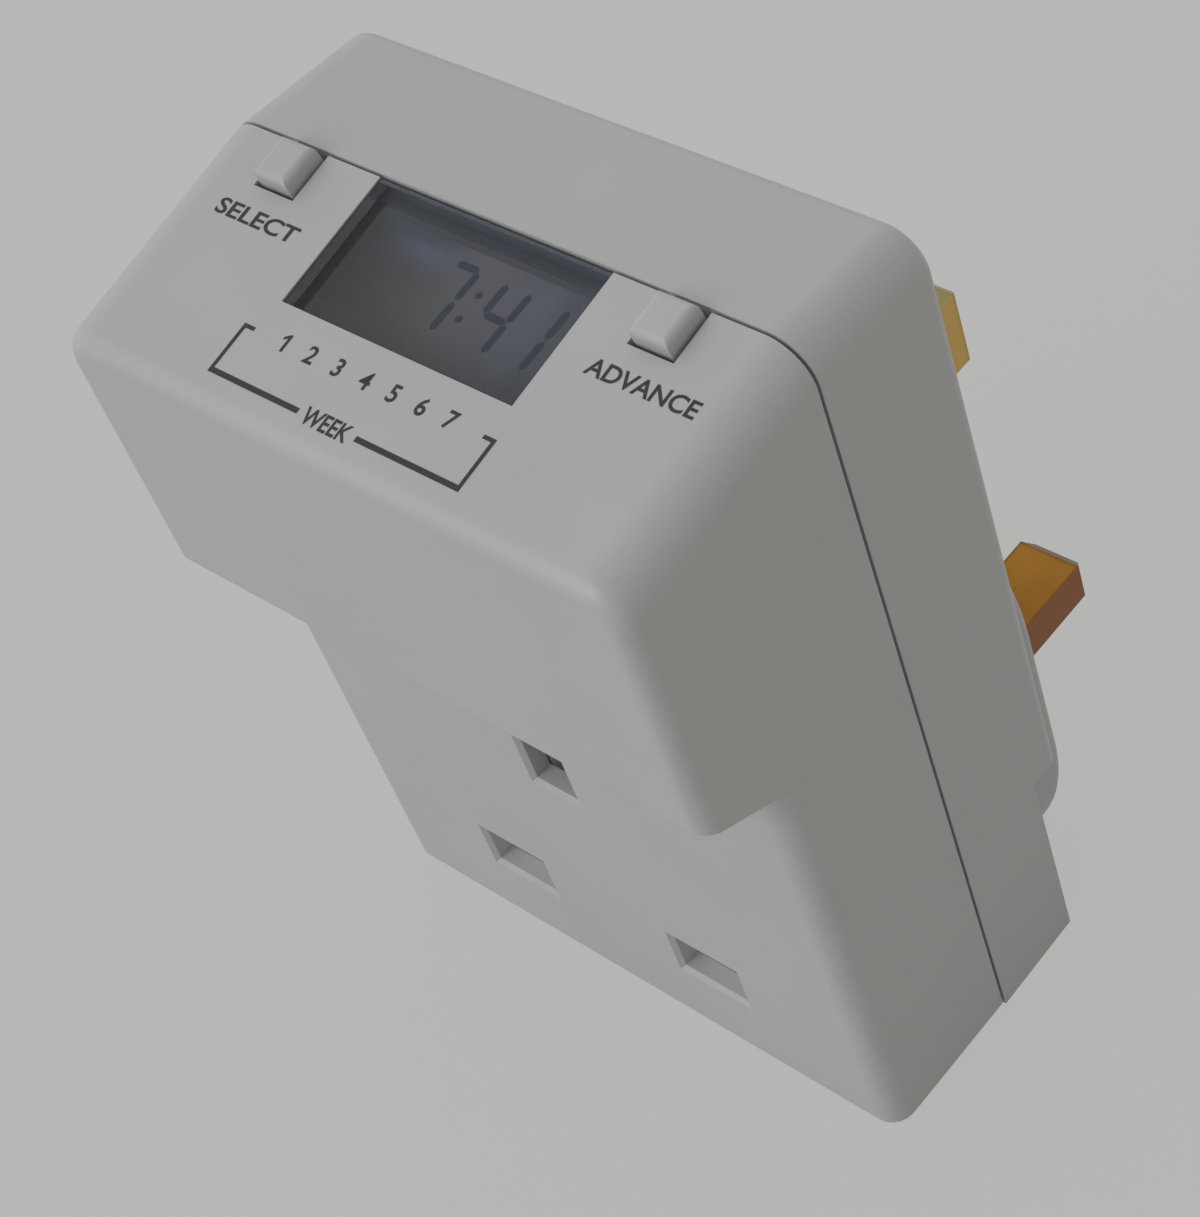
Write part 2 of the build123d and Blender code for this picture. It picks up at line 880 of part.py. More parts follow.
with BuildPart() as contact_carrier:
    with BuildSketch(Plane.XZ.offset(carrier_plate_back)):
        with Locations((0, carrier_bottom)):
            Rectangle(
                2 * carrier_half_width,
                carrier_top - carrier_bottom,
                align=(Align.CENTER, Align.MIN),
            )
        with Locations(carrier_screw_spots):
            Circle(small_head_radius + carrier_ear_margin)
        with Locations((0, carrier_screw_z)):
            Rectangle(2 * carrier_screw_x, 2 * (small_head_radius + carrier_ear_margin))
    extrude(amount=carrier_plate)
    pocket_length = carrier_plate_back - carrier_back_depth
    for side in (-1, 1):
        outer = pocket_half_width + pocket_wall
        block(
            carrier_back_depth,
            side * pin_half_pitch - outer,
            -pocket_half_height - pocket_wall,
            2 * outer,
            2 * (pocket_half_height + pocket_wall),
            pocket_length,
        )
    earth_outer = pocket_half_height + pocket_wall
    earth_floor = earth_foot - pocket_side_room
    block(
        carrier_back_depth,
        -earth_outer,
        earth_floor - pocket_wall,
        2 * earth_outer,
        carrier_top - earth_floor + pocket_wall,
        pocket_length,
    )
    # insides of the pockets, the earth pocket open at the top
    for side in (-1, 1):
        block(
            carrier_back_depth,
            side * pin_half_pitch - pocket_half_width,
            -pocket_half_height,
            2 * pocket_half_width,
            2 * pocket_half_height,
            pocket_length,
            Mode.SUBTRACT,
        )
        block(
            carrier_back_depth,
            side * pin_half_pitch - tail_width / 2 - tail_slot_room,
            0,
            tail_width + 2 * tail_slot_room,
            pocket_half_height + 2 * pocket_wall,
            blade_contact_back + contact_sheet + tail_slot_room - carrier_back_depth,
            Mode.SUBTRACT,
        )
    block(
        carrier_back_depth,
        -pocket_half_height,
        earth_floor,
        2 * pocket_half_height,
        carrier_top,
        pocket_length,
        Mode.SUBTRACT,
    )
    # apertures of the plate
    with BuildSketch(Plane.XZ.offset(carrier_plate_back)):
        with Locations((-pin_half_pitch, 0), (pin_half_pitch, 0)):
            Rectangle(aperture_width, aperture_height)
        with Locations((0, earth_floor)):
            Rectangle(
                2 * (ramp_half_width + clearance),
                carrier_top,
                align=(Align.CENTER, Align.MIN),
            )
        with Locations(carrier_screw_spots):
            Circle(small_screw_radius + shank_room)
    extrude(amount=carrier_plate, mode=Mode.SUBTRACT)
contact_carrier.part.label = "contact_carrier"
export_step(contact_carrier.part, "parts/contact_carrier.step")

with BuildPart() as carrier_screws:
    small_screws(Plane.XZ.offset(carrier_plate_back), carrier_screw_spots, carrier_plate)
carrier_screws.part.label = "carrier_screws"
export_step(carrier_screws.part, "parts/carrier_screws.step")


def grip_path(front, back):
    """Bent line of a spring contact: two leaves that pinch a pin and flare at the mouth."""
    middle = back + contact_sheet / 2
    upper = [
        (front, contact_mouth / 2),
        (front - contact_mouth_length, (contact_grip + contact_sheet) / 2),
        (middle, (contact_root + contact_sheet) / 2),
    ]
    return upper + [(depth, -across) for depth, across in reversed(upper)]


def blade_contact(x):
    """Contact of a blade aperture, with the tail that rises to the power board."""
    bent_strip(
        grip_path(blade_contact_front, blade_contact_back),
        x - contact_width / 2,
        contact_width,
        contact_sheet,
    )
    middle = blade_contact_back + contact_sheet / 2
    bent_strip(
        [(middle, 0), (middle, tail_rise), (power_front_depth, tail_rise)],
        x - tail_width / 2,
        tail_width,
        contact_sheet,
    )


with BuildPart() as line_contact:
    blade_contact(pin_half_pitch)
line_contact.part.label = "line_contact"
export_step(line_contact.part, "parts/line_contact.step")

with BuildPart() as neutral_contact:
    blade_contact(-pin_half_pitch)
neutral_contact.part.label = "neutral_contact"
export_step(neutral_contact.part, "parts/neutral_contact.step")

with BuildPart() as earth_contact:
    with BuildSketch(Plane.XY.offset(earth_rise - earth_contact_height / 2)):
        with BuildLine():
            earth_path = grip_path(earth_contact_front, earth_contact_back)
            Polyline(*[(across, -depth) for depth, across in earth_path])
        trace(line_width=contact_sheet)
    extrude(amount=earth_contact_height)
earth_contact.part.label = "earth_contact"
export_step(earth_contact.part, "parts/earth_contact.step")

with BuildPart() as line_strap:
    strap_middle = strap_depth + contact_sheet / 2
    bent_strip(
        [
            (strap_middle, -blade_height / 2),
            (strap_middle, strap_rise),
            (power_board_depth, strap_rise),
        ],
        pin_half_pitch - strap_width / 2,
        strap_width,
        contact_sheet,
    )
line_strap.part.label = "line_strap"
export_step(line_strap.part, "parts/line_strap.step")

# ---- Display ------------------------------------------------------------------------

with BuildPart() as lcd_window:
    face_block(
        flange_drop,
        window_left - window_flange,
        -pane_setback,
        window_width + 2 * window_flange,
        window_length - pane_setback + window_flange,
        window_flange_thickness,
    )
    face_block(
        wall,
        window_left + pane_fit,
        -pane_setback,
        window_width - 2 * pane_fit,
        window_length - pane_setback - pane_fit,
        wall - window_recess,
    )
lcd_window.part.label = "lcd_window"
export_step(lcd_window.part, "parts/lcd_window.step")

frame_left = window_left - window_flange
frame_width = window_width + 2 * window_flange
frame_length = window_length - pane_setback + window_flange
with BuildPart() as lcd_frame:
    face_block(
        board_top_drop,
        frame_left,
        -pane_setback,
        frame_width,
        frame_length,
        board_top_drop - flange_drop,
    )
    face_block(
        board_top_drop,
        frame_left + frame_wall,
        -pane_setback - frame_wall,
        frame_width - 2 * frame_wall,
        frame_length - 2 * frame_wall,
        board_top_drop - flange_drop,
        Mode.SUBTRACT,
    )
lcd_frame.part.label = "lcd_frame"
export_step(lcd_frame.part, "parts/lcd_frame.step")

panel_left = frame_left + frame_wall + pane_fit
panel_back = -pane_setback - frame_wall - pane_fit
panel_width = frame_width - 2 * (frame_wall + pane_fit)
panel_length = frame_length - 2 * (frame_wall + pane_fit)
with BuildPart() as lcd_panel:
    face_block(
        board_top_drop - strip_height,
        panel_left,
        panel_back,
        panel_width,
        panel_length,
        panel_thickness,
    )
lcd_panel.part.label = "lcd_panel"
export_step(lcd_panel.part, "parts/lcd_panel.step")

with BuildPart() as contact_strips:
    for strip_back in (panel_back, panel_back - panel_length + strip_width):
        face_block(board_top_drop, panel_left, strip_back, panel_width, strip_width, strip_height)
contact_strips.part.label = "contact_strips"
export_step(contact_strips.part, "parts/contact_strips.step")

with BuildPart() as display_board:
    face_block(
        board_bottom_drop,
        -display_board_half_width,
        display_board_back,
        2 * display_board_half_width,
        display_board_length,
        board_thickness,
    )
    face_bar(
        board_bottom_drop,
        board_boss_spots,
        small_screw_radius + shank_room,
        board_thickness,
        Mode.SUBTRACT,
    )
display_board.part.label = "display_board"
export_step(display_board.part, "parts/display_board.step")

with BuildPart() as controller_chip:
    face_bar(
        board_bottom_drop + chip_height,
        [(chip_x, board_front + chip_setback)],
        chip_radius,
        chip_height,
    )
    fillet(controller_chip.edges().group_by(Axis.Z)[0], 0.7 * chip_height)
controller_chip.part.label = "controller_chip"
export_step(controller_chip.part, "parts/controller_chip.step")

with BuildPart() as clock_crystal:
    crystal_spot = (crystal_x, board_front + crystal_setback, -board_bottom_drop - crystal_radius)
    crystal_centre = face_plane.from_local_coords(crystal_spot)
    cross_bar(crystal_x, -crystal_centre.Y, crystal_centre.Z, crystal_radius, crystal_length)
clock_crystal.part.label = "clock_crystal"
export_step(clock_crystal.part, "parts/clock_crystal.step")

# ---- Buttons and their switches -----------------------------------------------------

flange_top_drop = wall + button_clearance
flange_foot_drop = flange_top_drop + button_flange_thickness
switch_top_drop = board_top_drop - switch_height


def push_button(x):
    """Button cap that stands out of its notch, with a flange under the wall."""
    face_block(
        flange_foot_drop,
        x - button_width / 2,
        -button_setback,
        button_width,
        button_length,
        flange_foot_drop + button_stand,
    )
    fillet(faces().sort_by(Axis.Z)[-1].edges(), button_edge_radius)
    face_block(
        flange_foot_drop,
        x - button_width / 2 - button_flange,
        -button_setback,
        button_width + 2 * button_flange,
        button_length + button_flange,
        button_flange_thickness,
    )


def switch_plunger(x):
    """Plunger between a button and its switch."""
    drop = switch_top_drop + plunger_entry
    face_bar(drop, [(x, button_centre_y)], plunger_radius, drop - flange_foot_drop)


with BuildPart() as left_button:
    push_button(left_button_x)
left_button.part.label = "left_button"
export_step(left_button.part, "parts/left_button.step")

with BuildPart() as right_button:
    push_button(right_button_x)
right_button.part.label = "right_button"
export_step(right_button.part, "parts/right_button.step")

with BuildPart() as left_plunger:
    switch_plunger(left_button_x)
left_plunger.part.label = "left_plunger"
export_step(left_plunger.part, "parts/left_plunger.step")

with BuildPart() as right_plunger:
    switch_plunger(right_button_x)
right_plunger.part.label = "right_plunger"
export_step(right_plunger.part, "parts/right_plunger.step")

with BuildPart() as button_switches:
    switch_well = plunger_entry + button_travel + button_clearance
    for button_x in (left_button_x, right_button_x):
        face_block(
            board_top_drop,
            button_x - switch_size / 2,
            button_centre_y + switch_size / 2,
            switch_size,
            switch_size,
            switch_height,
        )
        face_bar(
            switch_top_drop + switch_well,
            [(button_x, button_centre_y)],
            plunger_radius + plunger_fit,
            switch_well,
            Mode.SUBTRACT,
        )
button_switches.part.label = "button_switches"
export_step(button_switches.part, "parts/button_switches.step")

# ---- Backup battery -----------------------------------------------------------------

with BuildPart() as backup_battery:
    for cell in range(cell_count):
        with BuildSketch(Plane.YZ.offset(battery_left + cell * cell_length)) as cell_end:
            with Locations((-battery_depth, battery_z)):
                Circle(cell_radius)
        extrude(cell_end.sketch, amount=cell_length)
    for seam in range(1, cell_count):
        with BuildSketch(Plane.YZ.offset(battery_left + seam * cell_length - tab_thickness)) as groove:
            with Locations((-battery_depth, battery_z)):
                Circle(2 * cell_radius)
                Circle(cell_radius - tab_thickness, mode=Mode.SUBTRACT)
        extrude(groove.sketch, amount=2 * tab_thickness, mode=Mode.SUBTRACT)
backup_battery.part.label = "backup_battery"
export_step(backup_battery.part, "parts/backup_battery.step")

with BuildPart() as battery_tabs:
    tab_top = height_under_face(battery_depth + tab_width / 2, board_bottom_drop) - thread_fit
    for tab_left in (battery_left - tab_thickness, battery_left + battery_length):
        block(
            battery_depth - tab_width / 2,
            tab_left,
            battery_z - tab_width / 2,
            tab_thickness,
            tab_top - battery_z + tab_width / 2,
            tab_width,
        )
battery_tabs.part.label = "battery_tabs"
export_step(battery_tabs.part, "parts/battery_tabs.step")

# ---- Power board and its components -------------------------------------------------

with BuildPart() as power_board:
    block(
        power_board_depth,
        -power_board_half_width,
        power_board_bottom,
        2 * power_board_half_width,
        power_board_top - power_board_bottom,
        board_thickness,
    )
    round_bar(
        power_board_depth,
        upper_spots,
        screw_tube_radius + clearance,
        board_thickness,
        Mode.SUBTRACT,
    )
    round_bar(
        power_board_depth,
        standoff_spots,
        small_screw_radius + shank_room,
        board_thickness,
        Mode.SUBTRACT,
    )
power_board.part.label = "power_board"
export_step(power_board.part, "parts/power_board.step")

with BuildPart() as board_screws:
    small_screws(face_plane.offset(-board_bottom_drop), board_boss_spots, board_thickness)
    small_screws(Plane.XZ.offset(power_front_depth), standoff_spots, board_thickness, -1)
board_screws.part.label = "board_screws"
export_step(board_screws.part, "parts/board_screws.step")

with BuildPart() as board_ribbon:
    ribbon_half = ribbon_thickness / 2
    ribbon_drop = board_bottom_drop + ribbon_half
    board_end = face_plane.from_local_coords((0, -ribbon_lap, -ribbon_drop))
    board_edge = face_plane.from_local_coords((0, ribbon_overhang, -ribbon_drop))
    bent_strip(
        [
            (-board_end.Y, board_end.Z),
            (-board_edge.Y, board_edge.Z),
            (power_front_depth + ribbon_foot, ribbon_board_z),
            (power_front_depth, ribbon_board_z),
        ],
        ribbon_left,
        ribbon_width,
        ribbon_thickness,
    )
board_ribbon.part.label = "board_ribbon"
export_step(board_ribbon.part, "parts/board_ribbon.step")

with BuildPart() as mains_capacitor:
    block(
        power_front_depth,
        capacitor_left,
        capacitor_bottom,
        capacitor_width,
        capacitor_height,
        capacitor_depth,
    )
    fillet(mains_capacitor.edges().filter_by(Axis.Y), capacitor_edge_radius)
mains_capacitor.part.label = "mains_capacitor"
export_step(mains_capacitor.part, "parts/mains_capacitor.step")

with BuildPart() as smoothing_capacitor:
    round_bar(power_front_depth, [(can_x, can_z)], can_radius, can_depth)
    with BuildSketch(Plane.XZ.offset(power_front_depth + can_bead_height)):
        with Locations((can_x, can_z)):
            Circle(2 * can_radius)
            Circle(can_radius - can_bead_depth, mode=Mode.SUBTRACT)
    extrude(amount=can_bead_width, mode=Mode.SUBTRACT)
    fillet(smoothing_capacitor.edges().sort_by(Axis.Y)[0], can_edge_radius)
smoothing_capacitor.part.label = "smoothing_capacitor"
export_step(smoothing_capacitor.part, "parts/smoothing_capacitor.step")

with BuildPart() as surge_varistor:
    cross_bar(
        disc_x - disc_thickness / 2,
        power_front_depth + disc_stand + disc_radius,
        disc_z,
        disc_radius,
        disc_thickness,
    )
    chamfer(surge_varistor.edges().filter_by(GeomType.CIRCLE), disc_edge)
    round_bar(
        power_front_depth,
        [(disc_x, disc_z - disc_radius / 2), (disc_x, disc_z + disc_radius / 2)],
        lead_radius,
        disc_stand + disc_radius,
    )
surge_varistor.part.label = "surge_varistor"
export_step(surge_varistor.part, "parts/surge_varistor.step")


def axial_component(x, z, radius, length, upright):
    """Cylindrical component lying on the power board, its two leads bent down to it."""
    depth = power_front_depth + radius + pane_fit
    half = length / 2
    reach = half + lead_stub
    base = Plane.XY if upright else Plane.YZ
    if upright:
        centre, start = (x, -depth), z
    else:
        centre, start = (-depth, z), x
    with BuildSketch(base.offset(start - half)) as body:
        with Locations(centre):
            Circle(radius)
    extrude(body.sketch, amount=2 * half)
    with BuildSketch(base.offset(start - reach)) as lead:
        with Locations(centre):
            RegularPolygon(lead_radius, lead_sides)
    extrude(lead.sketch, amount=2 * reach)
    if upright:
        feet = [(x, z - reach + lead_radius), (x, z + reach - lead_radius)]
    else:
        feet = [(x - reach + lead_radius, z), (x + reach - lead_radius, z)]
    with BuildSketch(Plane.XZ.offset(power_front_depth)) as foot:
        with Locations(feet):
            RegularPolygon(lead_radius, lead_sides)
    extrude(foot.sketch, amount=radius + pane_fit)


with BuildPart() as dropper_resistor:
    axial_component(resistor_x, resistor_z, resistor_radius, resistor_length, upright=False)
dropper_resistor.part.label = "dropper_resistor"
export_step(dropper_resistor.part, "parts/dropper_resistor.step")

with BuildPart() as rectifier_diodes:
    for place in range(diode_count):
        diode_x = diode_first_x + place * diode_pitch
        axial_component(diode_x, diode_z, diode_radius, diode_length, upright=True)
rectifier_diodes.part.label = "rectifier_diodes"
export_step(rectifier_diodes.part, "parts/rectifier_diodes.step")

# ---- Relay --------------------------------------------------------------------------

coil_x = relay_left + coil_start
coil_z = relay_bottom + coil_axis_height
coil_depth = power_front_depth + (relay_base_thickness + relay_depth - relay_wall) / 2
coil_end = coil_x + coil_length
pole_x = coil_end + pole_reach
armature_x = pole_x + armature_gap
blade_x = armature_x + armature_thickness
yoke_start = coil_depth - yoke_width / 2
yoke_left = coil_x - yoke_thickness
yoke_top = relay_bottom + yoke_top_height + yoke_thickness
contact_z = relay_bottom + contact_height
relay_inset = relay_wall + pane_fit

with BuildPart() as relay_cover:
    block(power_front_depth, relay_left, relay_bottom, relay_width, relay_height, relay_depth)
    fillet(relay_cover.edges().filter_by(Axis.Y), relay_edge_radius)
    fillet(relay_cover.faces().sort_by(Axis.Y)[0].edges(), relay_front_radius)
    block(
        power_front_depth,
        relay_left + relay_wall,
        relay_bottom + relay_wall,
        relay_width - 2 * relay_wall,
        relay_height - 2 * relay_wall,
        relay_depth - relay_wall,
        Mode.SUBTRACT,
    )
relay_cover.part.label = "relay_cover"
export_step(relay_cover.part, "parts/relay_cover.step")

with BuildPart() as relay_base:
    block(
        power_front_depth,
        relay_left + relay_inset,
        relay_bottom + relay_inset,
        relay_width - 2 * relay_inset,
        relay_height - 2 * relay_inset,
        relay_base_thickness,
    )
    # foot that carries the yoke
    block(
        power_front_depth + relay_base_thickness,
        yoke_left,
        coil_z - flange_radius / 2,
        yoke_thickness,
        flange_radius,
        yoke_start - power_front_depth - relay_base_thickness,
    )
relay_base.part.label = "relay_base"
export_step(relay_base.part, "parts/relay_base.step")

with BuildPart() as relay_bobbin:
    cross_bar(coil_x, coil_depth, coil_z, flange_radius, flange_thickness)
    cross_bar(coil_end - flange_thickness, coil_depth, coil_z, flange_radius, flange_thickness)
    cross_bar(coil_x, coil_depth, coil_z, bobbin_radius, coil_length)
    cross_bar(coil_x, coil_depth, coil_z, core_radius + thread_fit, coil_length, Mode.SUBTRACT)
relay_bobbin.part.label = "relay_bobbin"
export_step(relay_bobbin.part, "parts/relay_bobbin.step")

with BuildPart() as relay_winding:
    winding_length = coil_length - 2 * (flange_thickness + thread_fit)
    winding_left = coil_x + flange_thickness + thread_fit
    cross_bar(winding_left, coil_depth, coil_z, winding_radius, winding_length)
    cross_bar(winding_left, coil_depth, coil_z, bobbin_radius + thread_fit, winding_length, Mode.SUBTRACT)
relay_winding.part.label = "relay_winding"
export_step(relay_winding.part, "parts/relay_winding.step")

with BuildPart() as relay_yoke:
    cross_bar(coil_x - yoke_thickness, coil_depth, coil_z, core_radius, pole_x - coil_x + yoke_thickness)
    block(
        yoke_start,
        yoke_left,
        coil_z - flange_radius,
        yoke_thickness,
        yoke_top - coil_z + flange_radius,
        yoke_width,
    )
    block(
        yoke_start,
        yoke_left,
        yoke_top - yoke_thickness,
        pole_x + pane_fit - yoke_left,
        yoke_thickness,
        yoke_width,
    )
relay_yoke.part.label = "relay_yoke"
export_step(relay_yoke.part, "parts/relay_yoke.step")

with BuildPart() as relay_armature:
    block(
        yoke_start,
        armature_x,
        relay_bottom + armature_foot,
        armature_thickness,
        armature_head - armature_foot,
        yoke_width,
    )
relay_armature.part.label = "relay_armature"
export_step(relay_armature.part, "parts/relay_armature.step")

with BuildPart() as moving_contact:
    block(
        coil_depth - contact_radius - pane_fit,
        blade_x,
        contact_z - contact_radius,
        blade_thickness,
        coil_z - contact_z + contact_radius,
        2 * (contact_radius + pane_fit),
    )
    cross_bar(blade_x - armature_thickness / 2, coil_depth, contact_z, contact_radius, armature_thickness / 2)
moving_contact.part.label = "moving_contact"
export_step(moving_contact.part, "parts/moving_contact.step")

with BuildPart() as fixed_contact:
    rivet_x = blade_x - armature_thickness / 2 - contact_stroke - contact_radius / 2
    cross_bar(rivet_x, coil_depth, contact_z, contact_radius, contact_radius / 2)
    block(
        power_front_depth + relay_base_thickness,
        rivet_x - blade_thickness,
        contact_z - contact_radius,
        blade_thickness,
        2 * contact_radius,
        coil_depth + contact_radius - power_front_depth - relay_base_thickness,
    )
fixed_contact.part.label = "fixed_contact"
export_step(fixed_contact.part, "parts/fixed_contact.step")
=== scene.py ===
"""Looks of the plug-in timer switch: finishes, printed marks, display, floor, light and camera."""

import json
import logging
import math
from dataclasses import dataclass
from enum import Enum

import bmesh
import bpy
from mathutils import Matrix, Vector


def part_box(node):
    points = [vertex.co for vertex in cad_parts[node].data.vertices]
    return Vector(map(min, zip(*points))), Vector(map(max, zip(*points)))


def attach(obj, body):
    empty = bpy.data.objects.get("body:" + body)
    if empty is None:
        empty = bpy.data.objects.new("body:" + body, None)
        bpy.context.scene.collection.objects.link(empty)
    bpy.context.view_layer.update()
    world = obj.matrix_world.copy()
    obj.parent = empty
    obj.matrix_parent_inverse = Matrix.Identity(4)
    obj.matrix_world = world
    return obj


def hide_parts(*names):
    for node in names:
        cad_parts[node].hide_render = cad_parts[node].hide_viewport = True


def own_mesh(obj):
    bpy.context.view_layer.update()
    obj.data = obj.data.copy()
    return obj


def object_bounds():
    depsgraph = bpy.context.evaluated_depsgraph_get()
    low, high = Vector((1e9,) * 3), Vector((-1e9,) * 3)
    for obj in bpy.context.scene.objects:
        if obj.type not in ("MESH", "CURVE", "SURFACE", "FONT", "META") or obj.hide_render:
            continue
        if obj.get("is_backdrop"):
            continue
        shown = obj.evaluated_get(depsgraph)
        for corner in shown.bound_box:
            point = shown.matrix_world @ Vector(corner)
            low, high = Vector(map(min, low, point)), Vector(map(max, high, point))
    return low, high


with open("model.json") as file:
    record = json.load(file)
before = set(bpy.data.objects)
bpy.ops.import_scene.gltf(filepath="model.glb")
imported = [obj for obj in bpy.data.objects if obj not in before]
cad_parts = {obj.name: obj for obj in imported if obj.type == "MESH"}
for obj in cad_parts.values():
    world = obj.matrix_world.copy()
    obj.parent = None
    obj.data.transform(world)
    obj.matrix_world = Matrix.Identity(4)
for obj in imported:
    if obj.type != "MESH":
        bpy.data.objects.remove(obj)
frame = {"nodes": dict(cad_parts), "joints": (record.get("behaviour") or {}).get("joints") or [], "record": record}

log = logging.getLogger("plug_in_timer")

MILLI = 0.001
Colour = tuple[float, float, float]
Direction = tuple[float, float, float]
Point = tuple[float, float]
Fade = tuple[Point, ...]
Socket = bpy.types.NodeSocket
Tree = bpy.types.NodeTree

# The middle of a noise factor, where most of its values lie
NOISE_MIDDLE = (0.3, 0.7)

# Pin tones: upper and lower faces, sides in painted light and shade, tip in a painted dark reflection
FLAT_PIN_PAINTED_LIGHT_TONES = ((0.55, 0.25, 0.025), (0.3, 0.1, 0.018), (0.17, 0.09, 0.045))
PIN_PAINTED_LIGHT_TONES = {
    "line_pin": FLAT_PIN_PAINTED_LIGHT_TONES,
    "neutral_pin": FLAT_PIN_PAINTED_LIGHT_TONES,
    "earth_pin": ((0.47, 0.42, 0.16), (0.66, 0.43, 0.11), (0.42, 0.25, 0.09)),
}


class Slot(Enum):
    """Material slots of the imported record."""

    HOUSING = "housing_plastic"
    BUTTON = "button_plastic"
    WINDOW = "window_plastic"
    DISPLAY = "display_film"
    BLACK = "black_plastic"
    STRIP = "strip_rubber"
    BOARD = "circuit_board"
    RESIN = "chip_resin"
    PIN = "pin_brass"
    CONTACT = "contact_brass"
    STEEL = "bright_steel"
    WINDING = "winding_wire"
    SHUTTER = "shutter_plastic"
    CARRIER = "carrier_plastic"
    RELAY = "relay_plastic"
    CELL = "cell_sleeve"
    CAPACITOR = "capacitor_plastic"
    CAN = "can_sleeve"
    VARISTOR = "varistor_coat"
    RESISTOR = "resistor_body"


class Axis(Enum):
    """Directions in which a finish has its grain or its shades."""

    ACROSS = (1, 0, 0)
    INTO_WALL = (0, 1, 0)
    UP = (0, 0, 1)


class Joining(Enum):
    """Ways in which two factors of a node tree become one."""

    SUM = "ADD"
    PRODUCT = "MULTIPLY"
    LARGER = "MAXIMUM"


# ---- Node trees -----------------------------------------------------------------------


def joined(tree: Tree, joining: Joining, first: Socket, second: Socket | float) -> Socket:
    """Makes one factor of two.

    Args:
        tree: Tree that takes the node.
        joining: How the two are joined.
        first: One factor.
        second: The other factor, or a constant.

    Returns:
        The joined factor.
    """
    node = tree.nodes.new("ShaderNodeMath")
    node.operation = joining.value
    tree.links.new(first, node.inputs[0])
    if isinstance(second, float):
        node.inputs[1].default_value = second
    else:
        tree.links.new(second, node.inputs[1])
    return node.outputs["Value"]


def ranged(tree: Tree, value: Socket, source: Point, target: Point = (0.0, 1.0)) -> Socket:
    """Maps a factor from one range to another and holds it within the new one.

    Args:
        tree: Tree that takes the node.
        value: The factor.
        source: Values of the factor that give the ends of the new range.
        target: The new range.

    Returns:
        The mapped factor.
    """
    node = tree.nodes.new("ShaderNodeMapRange")
    for name, limit in zip(("From Min", "From Max", "To Min", "To Max"), source + target):
        node.inputs[name].default_value = limit
    tree.links.new(value, node.inputs["Value"])
    return node.outputs["Result"]


def mixed(tree: Tree, factor: Socket, first: Socket | Colour, second: Socket | Colour) -> Socket:
    """Blends two colours.

    Args:
        tree: Tree that takes the node.
        factor: Share of the second colour.
        first: Colour at factor 0.
        second: Colour at factor 1.

    Returns:
        The blended colour.
    """
    node = tree.nodes.new("ShaderNodeMix")
    node.data_type = "RGBA"
    tree.links.new(factor, node.inputs["Factor"])
    for name, colour in (("A", first), ("B", second)):
        if isinstance(colour, tuple):
            node.inputs[name].default_value = (*colour, 1.0)
        else:
            tree.links.new(colour, node.inputs[name])
    return node.outputs["Result"]


def scaled(colour: Colour, factor: float) -> Colour:
    """Colour made lighter or darker by a factor."""
    return tuple(min(1.0, channel * factor) for channel in colour)


